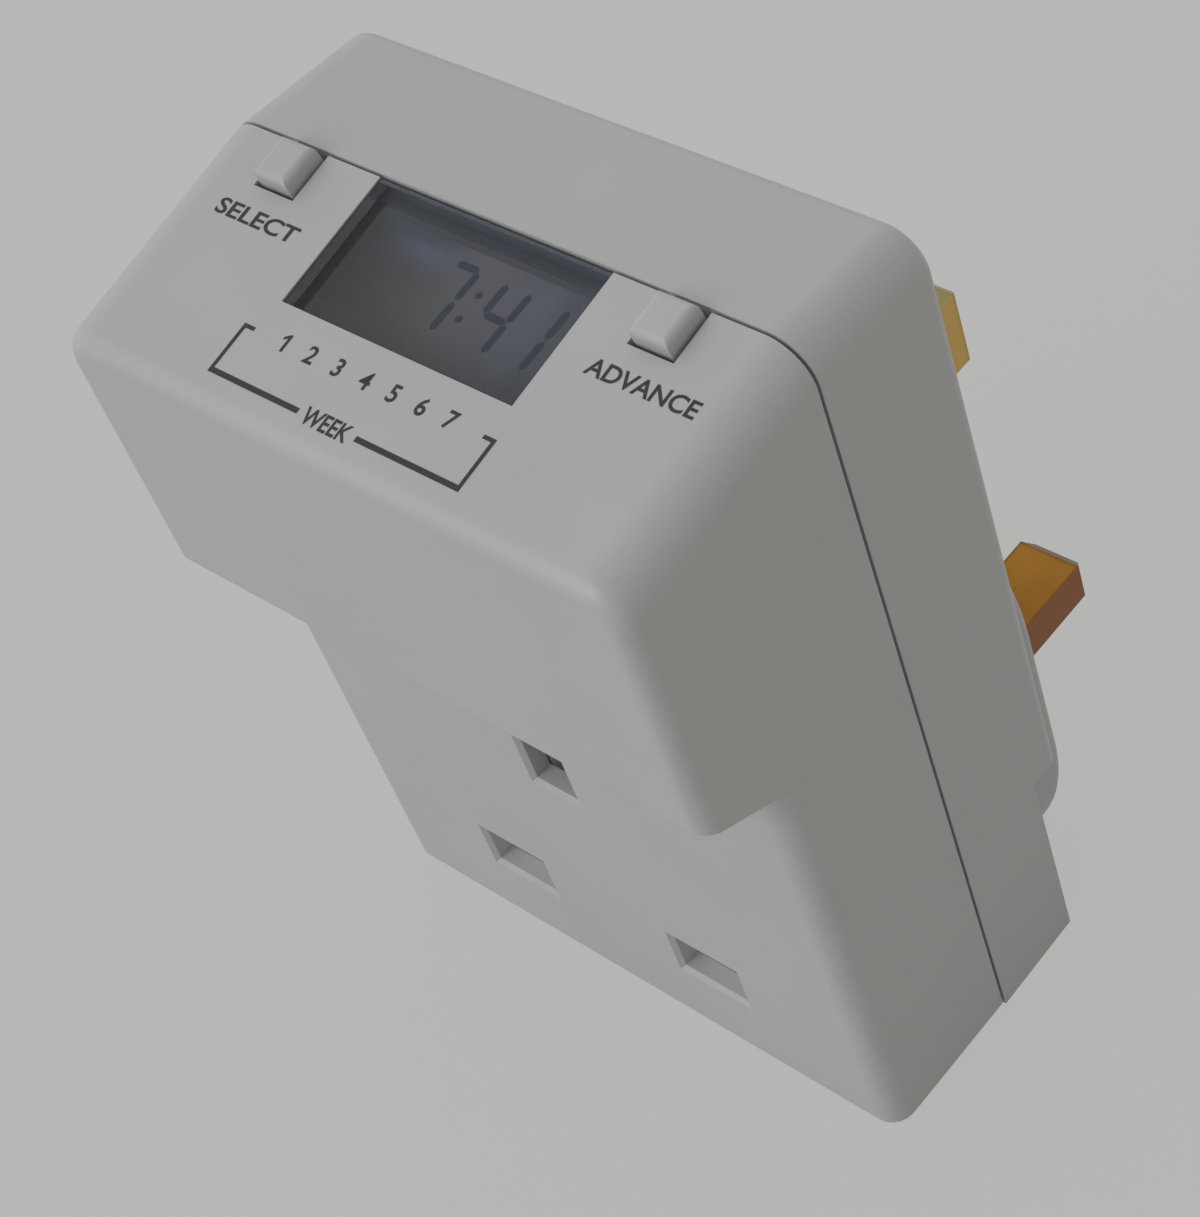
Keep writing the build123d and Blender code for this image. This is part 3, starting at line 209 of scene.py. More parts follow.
class Surface:
    """Node tree of one material: a principled shader and the nodes that feed it."""

    def __init__(self, name: str) -> None:
        """Makes the material with its shader and its object coordinates.

        Args:
            name: Name of the material.
        """
        self.material = bpy.data.materials.new(name)
        self.material.use_nodes = True
        self.tree = self.material.node_tree
        self.tree.nodes.clear()
        self.output = self.tree.nodes.new("ShaderNodeOutputMaterial")
        self.shader = self.tree.nodes.new("ShaderNodeBsdfPrincipled")
        self.tree.links.new(self.shader.outputs["BSDF"], self.output.inputs["Surface"])
        self.place = self.tree.nodes.new("ShaderNodeTexCoord").outputs["Object"]

    def set(self, **values: float | Colour) -> "Surface":
        """Sets constants on the shader's own sockets.

        Args:
            **values: Socket names in lower case with underscores, and their values.

        Returns:
            The surface itself.
        """
        for key, value in values.items():
            socket = self.shader.inputs[key.replace("_", " ").title().replace("Ior", "IOR")]
            socket.default_value = (*value, 1.0) if isinstance(value, tuple) else value
        return self

    def stretched(self, factors: Direction) -> Socket:
        """Object coordinates scaled along each axis.

        Args:
            factors: Scale along X, Y and Z.

        Returns:
            The scaled coordinates.
        """
        node = self.tree.nodes.new("ShaderNodeMapping")
        node.inputs["Scale"].default_value = factors
        self.tree.links.new(self.place, node.inputs["Vector"])
        return node.outputs["Vector"]

    def noise(self, size: float, detail: float = 3.0, place: Socket | None = None) -> Socket:
        """Noise with features of a real size.

        Args:
            size: Size of the features in metres.
            detail: Octaves of finer noise.
            place: Coordinates, or the object's own where left out.

        Returns:
            The noise factor.
        """
        node = self.tree.nodes.new("ShaderNodeTexNoise")
        node.inputs["Scale"].default_value = 1 / size
        node.inputs["Detail"].default_value = detail
        self.tree.links.new(place or self.place, node.inputs["Vector"])
        return node.outputs["Fac"]

    def along(self, axis: Axis, low: float, high: float) -> Socket:
        """Share from 0 to 1 of the way between two places along an axis.

        Args:
            axis: Direction in the object's frame.
            low: Coordinate in metres that gives 0.
            high: Coordinate in metres that gives 1.

        Returns:
            The share.
        """
        split = self.tree.nodes.new("ShaderNodeSeparateXYZ")
        self.tree.links.new(self.place, split.inputs["Vector"])
        return ranged(self.tree, split.outputs[axis.value.index(1)], (low, high))

    def spread(self, factor: Socket, low: float, high: float) -> Socket:
        """Maps the middle of a noise factor to a range of values."""
        return ranged(self.tree, factor, NOISE_MIDDLE, (low, high))

    def ramp(
        self,
        factor: Socket,
        stops: list[tuple[float, Colour]],
        sharp: bool = False,
    ) -> Socket:
        """Colours spread along a factor.

        Args:
            factor: What drives the ramp.
            stops: Positions from 0 to 1 with their colours.
            sharp: Whether the colours meet without a blend.

        Returns:
            The colour.
        """
        node = self.tree.nodes.new("ShaderNodeValToRGB")
        node.color_ramp.interpolation = "CONSTANT" if sharp else "LINEAR"
        elements = node.color_ramp.elements
        while len(elements) < len(stops):
            elements.new(0.5)
        for element, (position, colour) in zip(elements, stops):
            element.position = position
            element.color = (*colour, 1.0)
        self.tree.links.new(factor, node.inputs["Fac"])
        return node.outputs["Color"]

    def between(
        self,
        factor: Socket,
        first: Colour,
        last: Colour,
        places: Point = NOISE_MIDDLE,
    ) -> Socket:
        """Colours from one to another between two places of a factor."""
        return self.ramp(factor, list(zip(places, (first, last))))

    def fade(self, factor: Socket, stops: Fade) -> Socket:
        """Grey levels along a factor, from pairs of a position and its level."""
        return self.ramp(factor, [(position, (level,) * 3) for position, level in stops])

    def blend(self, factor: Socket, first: Socket, second: Socket | Colour) -> Socket:
        """Mixes two colours by a factor, which is the share of the second."""
        return mixed(self.tree, factor, first, second)

    def product(self, first: Socket, second: Socket) -> Socket:
        """Multiplies two factors."""
        return joined(self.tree, Joining.PRODUCT, first, second)

    def feed(self, socket: str, value: Socket) -> "Surface":
        """Links a node's output to a socket of the shader."""
        self.tree.links.new(value, self.shader.inputs[socket])
        return self

    def bump(self, height: Socket, depth: float, strength: float = 1.0) -> "Surface":
        """Adds relief to the surface.

        Args:
            height: Height factor from 0 to 1.
            depth: Height of the relief in metres.
            strength: Share of the relief that shows.

        Returns:
            The surface itself.
        """
        node = self.tree.nodes.new("ShaderNodeBump")
        node.inputs["Distance"].default_value = depth
        node.inputs["Strength"].default_value = strength
        self.tree.links.new(height, node.inputs["Height"])
        return self.feed("Normal", node.outputs["Normal"])


# ---- Finishes -------------------------------------------------------------------------


@dataclass(frozen=True)
class MouldedPlastic:
    """Injection-moulded plastic with a fine grain and a faint cloudiness."""

    name: str
    colour: Colour
    roughness: float = 0.42
    cloud: float = 0.02
    cloud_size: float = 14 * MILLI
    grain_size: float = 0.16 * MILLI
    grain_depth: float = 0.004 * MILLI
    grain_dulling: float = 0.04
    coat: float = 0.0
    coat_roughness: float = 0.12
    sheen: float = 0.5

    def build(self) -> bpy.types.Material:
        """Makes the material.

        Returns:
            The material.
        """
        surface = Surface(self.name).set(coat_weight=self.coat, specular_ior_level=self.sheen)
        surface.set(coat_roughness=self.coat_roughness)
        cloud = surface.noise(self.cloud_size, detail=2.0)
        low, high = scaled(self.colour, 1 - self.cloud), scaled(self.colour, 1 + self.cloud)
        surface.feed("Base Color", surface.between(cloud, low, high))
        grain = surface.noise(self.grain_size)
        low, high = self.roughness - self.grain_dulling, self.roughness + self.grain_dulling
        surface.feed("Roughness", surface.spread(grain, low, high))
        surface.bump(grain, self.grain_depth)
        return surface.material


@dataclass(frozen=True)
class DrawnMetal:
    """Drawn or stamped metal with fine streaks along one direction and slight tarnish."""

    name: str
    colour: Colour
    tarnish: Colour
    roughness: float
    grain: Axis
    metallic: float = 1.0
    streak_width: float = 0.12 * MILLI
    streak_stretch: float = 0.04
    streak_depth: float = 0.003 * MILLI
    streak_polish: float = 0.08
    streak_dulling: float = 0.1
    tarnish_size: float = 3 * MILLI
    tarnish_places: Point = (0.3, 0.62)

    def build(self) -> bpy.types.Material:
        """Makes the material.

        Returns:
            The material.
        """
        surface = Surface(self.name).set(metallic=self.metallic)
        stretch = tuple(self.streak_stretch if on else 1.0 for on in self.grain.value)
        streaks = surface.noise(self.streak_width, place=surface.stretched(stretch))
        patches = surface.noise(self.tarnish_size, detail=4.0)
        tone = surface.between(patches, self.tarnish, self.colour, self.tarnish_places)
        surface.feed("Base Color", tone)
        low, high = self.roughness - self.streak_polish, self.roughness + self.streak_dulling
        surface.feed("Roughness", surface.spread(streaks, low, high))
        surface.bump(streaks, self.streak_depth)
        return surface.material


@dataclass(frozen=True)
class PinBrass:
    """Brass of a plug pin, with random patches of wear, painted light and shade on its sides and a
    painted dark reflection at its tip.
    """

    name: str
    colour: Colour
    # Painted light and shade of the side faces
    side: Colour
    # Painted dark reflection on the tip's chamfers
    tip: Colour
    low: Vector
    high: Vector
    side_depth: float = 0.05
    tip_length: float = 1.3 * MILLI
    roughness: float = 0.32
    metallic: float = 0.55
    streak_width: float = 0.14 * MILLI
    streak_stretch: float = 0.04
    streak_depth: float = 0.002 * MILLI
    streak_polish: float = 0.06
    streak_dulling: float = 0.08
    wear_size: float = 5 * MILLI
    wear_places: Point = (0.3, 0.65)
    wear_shade: float = 0.85

    def build(self) -> bpy.types.Material:
        """Makes the material.

        Returns:
            The material.
        """
        surface = Surface(self.name).set(metallic=self.metallic)
        stretched = surface.stretched((1.0, self.streak_stretch, 1.0))
        streaks = surface.noise(self.streak_width, place=stretched)
        patches = surface.noise(self.wear_size, detail=2.0)
        shade = scaled(self.colour, self.wear_shade)
        worn = surface.between(patches, shade, self.colour, self.wear_places)
        # Painted light and shade on the outermost share of each side
        across = surface.along(Axis.ACROSS, self.low.x, self.high.x)
        left, right = self.side_depth, 1 - self.side_depth
        sides = surface.fade(across, ((0.0, 1.0), (left, 0.0), (right, 0.0), (1.0, 1.0)))
        shank = surface.blend(sides, worn, self.side)
        # Painted dark reflection over the tip's last length
        start, full = self.high.y - self.tip_length, self.high.y - self.tip_length / 2
        dark = surface.along(Axis.INTO_WALL, start, full)
        surface.feed("Base Color", surface.blend(dark, shank, self.tip))
        low, high = self.roughness - self.streak_polish, self.roughness + self.streak_dulling
        surface.feed("Roughness", surface.spread(streaks, low, high))
        surface.bump(streaks, self.streak_depth)
        return surface.material


@dataclass(frozen=True)
class ClearPane:
    """Clear polished acrylic with the faint haze of handling."""

    name: str
    tint: Colour
    index: float = 1.49
    haze_size: float = 4 * MILLI
    roughness: Point = (0.02, 0.06)

    def build(self) -> bpy.types.Material:
        """Makes the material: it lets shadow rays through, so the display behind stays lit.

        Returns:
            The material.
        """
        surface = Surface(self.name).set(base_color=self.tint, transmission_weight=1.0)
        surface.set(ior=self.index)
        haze = surface.noise(self.haze_size)
        surface.feed("Roughness", surface.spread(haze, *self.roughness))
        nodes, links = surface.tree.nodes, surface.tree.links
        clear = nodes.new("ShaderNodeBsdfTransparent")
        clear.inputs["Color"].default_value = (*self.tint, 1.0)
        path = nodes.new("ShaderNodeLightPath")
        mix = nodes.new("ShaderNodeMixShader")
        links.new(path.outputs["Is Shadow Ray"], mix.inputs["Fac"])
        links.new(surface.shader.outputs["BSDF"], mix.inputs[1])
        links.new(clear.outputs["BSDF"], mix.inputs[2])
        links.new(mix.outputs["Shader"], surface.output.inputs["Surface"])
        return surface.material


@dataclass(frozen=True)
class DisplayFilm:
    """Reflective liquid crystal film in painted shade, darker to the left, with a painted bluish
    sheen near its back edge.

    Its fades run across it from the left, or inward from the front, each from 0 to 1.
    """

    name: str
    # Painted shade across the film, from darker at the left to the right
    left: Colour
    middle: Colour
    right: Colour
    # Painted bluish sheen near the back edge
    sheen: Colour
    # Painted darker blue shade at the back left
    edge: Colour
    # Painted lighter rim near the front edge
    rim: Colour
    low: Vector
    high: Vector
    right_dimming: float = 0.72
    shade_places: tuple[float, ...] = (0.12, 0.5, 0.8, 0.88)
    rim_inward: Fade = ((0.19, 0.1), (0.235, 0.0))
    sheen_inward: Fade = ((0.62, 0.0), (0.8, 1.0), (0.93, 0.0))
    sheen_across: Fade = ((0.08, 0.0), (0.3, 1.0), (0.62, 0.0))
    edge_inward: Fade = ((0.8, 0.0), (0.9, 1.0))
    edge_across: Fade = (
        (0.04, 0.0), (0.14, 1.0), (0.3, 1.0), (0.45, 0.0), (0.55, 0.0), (0.65, 0.3)
    )
    gloss: float = 0.1
    cloud_size: float = 3 * MILLI
    roughness: Point = (0.3, 0.36)
    grain_size: float = 0.2 * MILLI
    grain_depth: float = 0.0005 * MILLI

    def build(self) -> bpy.types.Material:
        """Makes the material.

        Returns:
            The material.
        """
        surface = Surface(self.name).set(specular_ior_level=self.gloss)
        across = surface.along(Axis.ACROSS, self.low.x, self.high.x)
        inward = surface.along(Axis.INTO_WALL, self.low.y, self.high.y)
        # Painted shade across the film, and a painted lighter rim near its front
        tones = (self.left, self.middle, self.right, scaled(self.right, self.right_dimming))
        shade = surface.ramp(across, list(zip(self.shade_places, tones)))
        shade = surface.blend(surface.fade(inward, self.rim_inward), shade, self.rim)
        # Painted bluish sheen and painted darker blue shade near the back edge
        for inward_fade, across_fade, tone in (
            (self.sheen_inward, self.sheen_across, self.sheen),
            (self.edge_inward, self.edge_across, self.edge),
        ):
            first, second = surface.fade(inward, inward_fade), surface.fade(across, across_fade)
            shade = surface.blend(surface.product(first, second), shade, tone)
        surface.feed("Base Color", shade)
        cloud = surface.noise(self.cloud_size, detail=2.0)
        surface.feed("Roughness", surface.spread(cloud, *self.roughness))
        surface.bump(surface.noise(self.grain_size), self.grain_depth)
        return surface.material


@dataclass(frozen=True)
class SolderMask:
    """Circuit board under solder mask, with raised tracks and lighter weave between them."""

    name: str
    mask: Colour
    track: Colour
    track_pitch: float = 1.6 * MILLI
    track_width: float = 0.12
    track_depth: float = 0.03 * MILLI
    track_relief: float = 0.6
    weave_size: float = 0.4 * MILLI
    weave_shade: float = 0.8
    grain_size: float = 0.3 * MILLI
    roughness: Point = (0.3, 0.4)
    coat: float = 0.4
    coat_roughness: float = 0.15

    def build(self) -> bpy.types.Material:
        """Makes the material.

        Returns:
            The material.
        """
        surface = Surface(self.name).set(coat_weight=self.coat, coat_roughness=self.coat_roughness)
        bricks = surface.tree.nodes.new("ShaderNodeTexBrick")
        bricks.inputs["Scale"].default_value = 1 / self.track_pitch
        bricks.inputs["Mortar Size"].default_value = self.track_width
        surface.tree.links.new(surface.place, bricks.inputs["Vector"])
        tracks = bricks.outputs["Fac"]
        weave = surface.noise(self.weave_size)
        base = surface.between(weave, scaled(self.mask, self.weave_shade), self.mask)
        surface.feed("Base Color", surface.blend(tracks, base, self.track))
        surface.feed("Roughness", surface.spread(surface.noise(self.grain_size), *self.roughness))
        surface.bump(tracks, self.track_depth, strength=self.track_relief)
        return surface.material


@dataclass(frozen=True)
class WoundWire:
    """Enamelled wire wound side by side about the coil's axis, with painted shade in its grooves."""

    name: str
    colour: Colour
    wire: float = 0.12 * MILLI
    wave_period: float = 0.32
    wander: float = 0.6
    groove_shade: float = 0.45
    groove_places: Point = (0.0, 0.6)
    groove_depth: float = 0.04 * MILLI
    groove_roughness: float = 0.45
    crown_roughness: float = 0.3
    metallic: float = 0.6

    def build(self) -> bpy.types.Material:
        """Makes the material, whose wave texture has about the named period at a scale of 1.

        Returns:
            The material.
        """
        surface = Surface(self.name).set(metallic=self.metallic)
        turns = surface.tree.nodes.new("ShaderNodeTexWave")
        turns.bands_direction = "X"
        turns.inputs["Scale"].default_value = self.wave_period / self.wire
        turns.inputs["Distortion"].default_value = self.wander
        surface.tree.links.new(surface.place, turns.inputs["Vector"])
        lines = turns.outputs["Fac"]
        groove = scaled(self.colour, self.groove_shade)
        tone = surface.between(lines, groove, self.colour, self.groove_places)
        surface.feed("Base Color", tone)
        roughness = surface.spread(lines, self.groove_roughness, self.crown_roughness)
        surface.feed("Roughness", roughness)
        surface.bump(lines, self.groove_depth)
        return surface.material


@dataclass(frozen=True)
class ShrunkSleeve:
    """Plastic sleeve shrunk tight over a body, with a lighter stripe near its left side."""

    name: str
    colour: Colour
    stripe: Colour
    start: float
    end: float
    stripe_places: Point = (0.12, 0.2)
    cloud_size: float = 1.5 * MILLI
    cloud: float = 0.25
    cloud_shade: float = 0.6
    grain_size: float = 0.5 * MILLI
    roughness: Point = (0.22, 0.34)
    dent_size: float = 0.8 * MILLI
    dent_depth: float = 0.02 * MILLI

    def build(self) -> bpy.types.Material:
        """Makes the material.

        Returns:
            The material.
        """
        surface = Surface(self.name)
        start, end = self.stripe_places
        stops = [(0.0, self.colour), (start, self.stripe), (end, self.colour)]
        band = surface.ramp(surface.along(Axis.ACROSS, self.start, self.end), stops, sharp=True)
        cloud = surface.spread(surface.noise(self.cloud_size), 0.0, self.cloud)
        shade = scaled(self.colour, self.cloud_shade)
        surface.feed("Base Color", surface.blend(cloud, band, shade))
        surface.feed("Roughness", surface.spread(surface.noise(self.grain_size), *self.roughness))
        surface.bump(surface.noise(self.dent_size), self.dent_depth)
        return surface.material


@dataclass(frozen=True)
class BandedLacquer:
    """Resistor lacquer with four colour bands across the body."""

    name: str
    body: Colour
    bands: tuple[Colour, ...]
    start: float
    end: float
    first_band: float = 0.3
    band_pitch: float = 0.11
    band_width: float = 0.05
    mottle_size: float = 0.6 * MILLI
    mottle: float = 0.15
    mottle_shade: float = 0.7
    grain_size: float = 0.4 * MILLI
    roughness: Point = (0.35, 0.5)
    dent_size: float = 0.7 * MILLI
    dent_depth: float = 0.01 * MILLI

    def build(self) -> bpy.types.Material:
        """Makes the material.

        Returns:
            The material.
        """
        surface = Surface(self.name)
        stops = [(0.0, self.body)]
        for place, band in enumerate(self.bands):
            left = self.first_band + self.band_pitch * place
            stops += [(left, band), (left + self.band_width, self.body)]
        rings = surface.ramp(surface.along(Axis.ACROSS, self.start, self.end), stops, sharp=True)
        mottle = surface.spread(surface.noise(self.mottle_size), 0.0, self.mottle)
        shade = scaled(self.body, self.mottle_shade)
        surface.feed("Base Color", surface.blend(mottle, rings, shade))
        surface.feed("Roughness", surface.spread(surface.noise(self.grain_size), *self.roughness))
        surface.bump(surface.noise(self.dent_size), self.dent_depth)
        return surface.material


@dataclass(frozen=True)
class PadInk:
    """Pad-printed ink, slightly uneven where it takes on the plastic's grain."""

    name: str
    colour: Colour
    sheen: float = 0.3
    grain_size: float = 0.12 * MILLI
    grain_depth: float = 0.002 * MILLI
    wear_places: Point = (0.35, 0.75)
    wear_shade: float = 2.2
    roughness: Point = (0.5, 0.65)

    def build(self) -> bpy.types.Material:
        """Makes the material.

        Returns:
            The material.
        """
        surface = Surface(self.name).set(specular_ior_level=self.sheen)
        wear = surface.noise(self.grain_size, detail=4.0)
        thin = scaled(self.colour, self.wear_shade)
        surface.feed("Base Color", surface.between(wear, self.colour, thin, self.wear_places))
        surface.feed("Roughness", surface.spread(wear, *self.roughness))
        surface.bump(wear, self.grain_depth)
        return surface.material


# ---- Meshes ---------------------------------------------------------------------------

# Raw letters, in sizes of their font: half their depth, which is scaled to the ink's, how much
# bolder they are than the font, the steps of each curve, and the gap that is welded
LETTER_DEPTH = 0.5
LETTER_BOLDNESS = 0.017
LETTER_CURVE_STEPS = 5
LETTER_WELD = 1e-5


@dataclass(frozen=True)
class FacePlane:
    """Sloped display face: x across it, s up its slope towards the wall, h out of it."""

    origin: Vector
    across: Vector
    slope: Vector
    out: Vector
    level_room: float = 0.01 * MILLI

    @classmethod
    def from_frame(cls) -> "FacePlane":
        """Plane through the front housing's highest edge, square to the travel of the buttons.

        Returns:
            The plane.
        """
        out = -Vector(joint("left_button_press")["axis"]).normalized()
        across = Vector((1, 0, 0))
        crest = max(vertices("front_housing"), key=lambda spot: spot.z)
        return cls(Vector((0, crest.y, crest.z)), across, out.cross(across), out)

    def top(self, name: str) -> tuple[float, Vector, Vector]:
        """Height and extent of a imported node's upper face.

        Args:
            name: The node.

        Returns:
            Its height h, and the lowest and highest x and s on it.
        """
        gaps = [spot - self.origin for spot in vertices(name)]
        axes = (self.across, self.slope, self.out)
        spots = [Vector([gap.dot(axis) for axis in axes]) for gap in gaps]
        height = max(spot.z for spot in spots)
        low, high = extent([spot.xy for spot in spots if height - spot.z < self.level_room])
        return height, low, high

    def matrix(self, x: float = 0.0, s: float = 0.0) -> Matrix:
        """Placement on the face.

        Args:
            x: Metres to the right of the middle.
            s: Metres up the slope from the face's back edge.

        Returns:
            Matrix whose X, Y and Z run along x, s and h.
        """
        turn = Matrix((self.across, self.slope, self.out)).transposed().to_4x4()
        return Matrix.Translation(self.origin + x * self.across + s * self.slope) @ turn


def joint(name: str) -> dict:
    """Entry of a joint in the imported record."""
    return next(entry for entry in frame["joints"] if entry["name"] == name)


def vertices(name: str) -> list[Vector]:
    """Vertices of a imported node, in the frame."""
    node = frame["nodes"][name]
    return [node.matrix_world @ vertex.co for vertex in node.data.vertices]


def extent(spots: list[Vector]) -> tuple[Vector, Vector]:
    """Lowest and highest coordinates of some points."""
    return Vector(map(min, zip(*spots))), Vector(map(max, zip(*spots)))


def rectangle(low: Vector, high: Vector) -> list[Point]:
    """Corners of a rectangle in order, its back edge from the third to the fourth."""
    return [(low.x, low.y), (high.x, low.y), (high.x, high.y), (low.x, high.y)]


def add_piece(
    name: str,
    bm: bmesh.types.BMesh,
    material: bpy.types.Material,
    body: str = "timer_body",
) -> bpy.types.Object:
    """Turns a bmesh into a piece that rides on a body.

    Args:
        name: Name of the piece.
        bm: Its mesh in the frame, which is freed.
        material: Its finish.
        body: The body it moves with.

    Returns:
        The new object.
    """
    bmesh.ops.recalc_face_normals(bm, faces=bm.faces)
    mesh = bpy.data.meshes.new(name)
    bm.to_mesh(mesh)
    bm.free()
    mesh.materials.append(material)
    piece = bpy.data.objects.new(name, mesh)
    bpy.context.scene.collection.objects.link(piece)
    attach(piece, body)
    log.info("piece %s: %d faces on %s", name, len(mesh.polygons), body)
    return piece


def add_walls(
    bm: bmesh.types.BMesh,
    ring: list[bmesh.types.BMVert],
    after: list[bmesh.types.BMVert],
) -> list[bmesh.types.BMFace]:
    """Adds the faces between two closed rings with as many corners."""
    corners = zip(ring, ring[1:] + ring[:1], after[1:] + after[:1], after)
    return [bm.faces.new(wall) for wall in corners]


def add_prism(
    bm: bmesh.types.BMesh,
    outline: list[Point],
    bottom: float,
    top: float,
    place: Matrix,
) -> None:
    """Adds a closed prism to a mesh.

    Args:
        bm: Mesh that takes the prism.
        outline: Corners in the plane, in order.
        bottom: Height of its lower face.
        top: Height of its upper face.
        place: Matrix from the plane to the frame.
    """
    lower, upper = (
        [bm.verts.new(place @ Vector((x, y, z))) for x, y in outline] for z in (bottom, top)
    )
    bm.faces.new(upper)
    bm.faces.new(list(reversed(lower)))
    add_walls(bm, lower, upper)


def lettering(
    text: str, height: float, width: float | None, thickness: float
) -> bmesh.types.BMesh:
    """Mesh of a word, centred on its own plane.

    Args:
        text: The letters, all capitals or all digits.
        height: Height of the letters.
        width: Width of the word, or None for its natural width.
        thickness: Thickness of the ink.

    Returns:
        The mesh, from height 0 to the thickness.
    """
    curve = bpy.data.curves.new("outline_" + text, "FONT")
    curve.body = text
    curve.extrude = LETTER_DEPTH
    curve.offset = LETTER_BOLDNESS
    curve.resolution_u = LETTER_CURVE_STEPS
    holder = bpy.data.objects.new("outline_" + text, curve)
    mesh = bpy.data.meshes.new_from_object(holder)
    bm = bmesh.new()
    bm.from_mesh(mesh)
    bpy.data.objects.remove(holder)
    bpy.data.curves.remove(curve)
    bpy.data.meshes.remove(mesh)
    bmesh.ops.remove_doubles(bm, verts=bm.verts, dist=LETTER_WELD)
    low, high = extent([v.co for v in bm.verts])
    middle, size = (low + high) / 2, high - low
    scale = height / size.y
    widening = width / size.x if width else scale
    for v in bm.verts:
        off = v.co - middle
        v.co = Vector((off.x * widening, off.y * scale, (off.z / size.z + 0.5) * thickness))
    return bm


# ---- Printed marks --------------------------------------------------------------------

# Figure one with its flag, in heights of the figure from its own middle
ONE_OUTLINE = (
    (0.02, -0.5), (0.2, -0.5), (0.2, 0.5), (0.06, 0.5), (-0.24, 0.27), (-0.24, 0.1), (0.02, 0.27)
)


@dataclass
class PrintedMarks:
    """Ink on the display face: day numbers, their bracket and one word at each button."""

    face: FacePlane
    ink: bpy.types.Material
    thickness: float = 0.02 * MILLI
    middle_x: float = -0.36 * MILLI
    label_height: float = 1.45 * MILLI
    label_s: float = -7.0 * MILLI
    left_label_x: float = -19.0 * MILLI
    left_label_width: float = 8.7 * MILLI
    right_label_x: float = 19.9 * MILLI
    right_label_width: float = 10.0 * MILLI
    days: int = 7
    digit_pitch: float = 2.84 * MILLI
    digit_height: float = 1.5 * MILLI
    digit_s: float = -14.85 * MILLI
    bracket_width: float = 25.5 * MILLI
    bracket_top_s: float = -14.9 * MILLI
    bracket_foot_s: float = -19.05 * MILLI
    bracket_tip: float = 0.85 * MILLI
    side_stroke: float = 0.33 * MILLI
    foot_stroke: float = 0.46 * MILLI
    week_gap: float = 5.9 * MILLI
    week_width: float = 4.7 * MILLI
    week_x: float = -0.75 * MILLI

    def build(self) -> None:
        """Prints every mark."""
        for name, text, x, s, width in (
            ("label_left", "SELECT", self.left_label_x, self.label_s, self.left_label_width),
            ("label_right", "ADVANCE", self.right_label_x, self.label_s, self.right_label_width),
            ("label_week", "WEEK", self.week_x, self.bracket_foot_s, self.week_width),
        ):
            self.word(name, text, (x, s), self.label_height, width)
        for day in range(1, self.days + 1):
            place = (self.middle_x + (day - (self.days + 1) / 2) * self.digit_pitch, self.digit_s)
            if day == 1:
                self.figure_one("day_number_1", place)
            else:
                self.word(f"day_number_{day}", str(day), place, self.digit_height)
        self.bracket()

    def figure_one(self, name: str, middle: Point) -> None:
        """Prints the figure one.

        Args:
            name: Name of the piece.
            middle: Middle of the figure across the face and along the slope.
        """
        bm = bmesh.new()
        outline = [(self.digit_height * x, self.digit_height * y) for x, y in ONE_OUTLINE]
        add_prism(bm, outline, 0.0, self.thickness, self.face.matrix(*middle))
        add_piece(name, bm, self.ink)

    def word(
        self, name: str, text: str, middle: Point, height: float, width: float | None = None
    ) -> None:
        """Prints one word or number.

        Args:
            name: Name of the piece.
            text: Its letters.
            middle: Middle of the word across the face and along the slope.
            height: Height of its letters.
            width: Width of the word, or None for its natural width.
        """
        bm = lettering(text, height, width, self.thickness)
        bm.transform(self.face.matrix(*middle))
        add_piece(name, bm, self.ink)

    def bracket(self) -> None:
        """Prints the bracket that ties the day numbers to their word."""
        bm = bmesh.new()
        half_side, half_foot = self.side_stroke / 2, self.foot_stroke / 2
        top, under_top = self.bracket_top_s + half_side, self.bracket_top_s - half_side
        foot, over_foot = self.bracket_foot_s - half_foot, self.bracket_foot_s + half_foot
        for side in (-1, 1):
            outer = self.middle_x + side * (self.bracket_width / 2 + half_side)
            inner = outer - side * self.side_stroke
            tip = inner - side * self.bracket_tip
            gap = self.week_x + side * self.week_gap / 2
            outline = [
                (outer, top),
                (outer, foot),
                (gap, foot),
                (gap, over_foot),
                (inner, over_foot),
                (inner, under_top),
                (tip, under_top),
                (tip, top),
            ]
            add_prism(bm, outline, 0.0, self.thickness, self.face.matrix())
        add_piece("day_bracket", bm, self.ink)


# ---- Display --------------------------------------------------------------------------

# Lit segments of each figure: a to f clockwise from the top, and g in the middle
FIGURE_SEGMENTS = {
    "0": "abcdef",
    "1": "bc",
    "2": "abdeg",
    "3": "abcdg",
    "4": "bcfg",
    "5": "acdfg",
    "6": "acdefg",
    "7": "abc",
    "8": "abcdefg",
    "9": "abcdfg",
}

# Place of the mask's back wall among the walls over a rectangle's edges
BACK_WALL = 2


@dataclass
class WindowMask:
    """Thin black ring round the window's pane, from the pane's top down to its flange."""

    face: FacePlane
    black: bpy.types.Material
    # Lighter bluish copy of the ink for the back wall: painted light
    back: bpy.types.Material
    depth: float = 1.8 * MILLI
    fit: float = 0.02 * MILLI
    thickness: float = 0.06 * MILLI
    back_thickness: float = 0.3 * MILLI

    def build(self) -> None:
        """Wraps the ring round the pane."""
        top, low, high = self.face.top("lcd_window")
        fit = Vector((self.fit, self.fit))
        inner = rectangle(low - fit, high + fit)
        outer = rectangle(
            low - fit - Vector((self.thickness, self.thickness)),
            high + fit + Vector((self.thickness, self.back_thickness)),
        )
        place, foot = self.face.matrix(), top - self.depth
        bm = bmesh.new()
        loops = [
            [bm.verts.new(place @ Vector((x, s, height))) for x, s in corners]
            for corners, height in ((inner, foot), (inner, top), (outer, top), (outer, foot))
        ]
        for loop, after in zip(loops, loops[1:] + loops[:1]):
            # The back wall takes the painted light
            add_walls(bm, loop, after)[BACK_WALL].material_index = 1
        add_piece("window_mask", bm, self.black).data.materials.append(self.back)


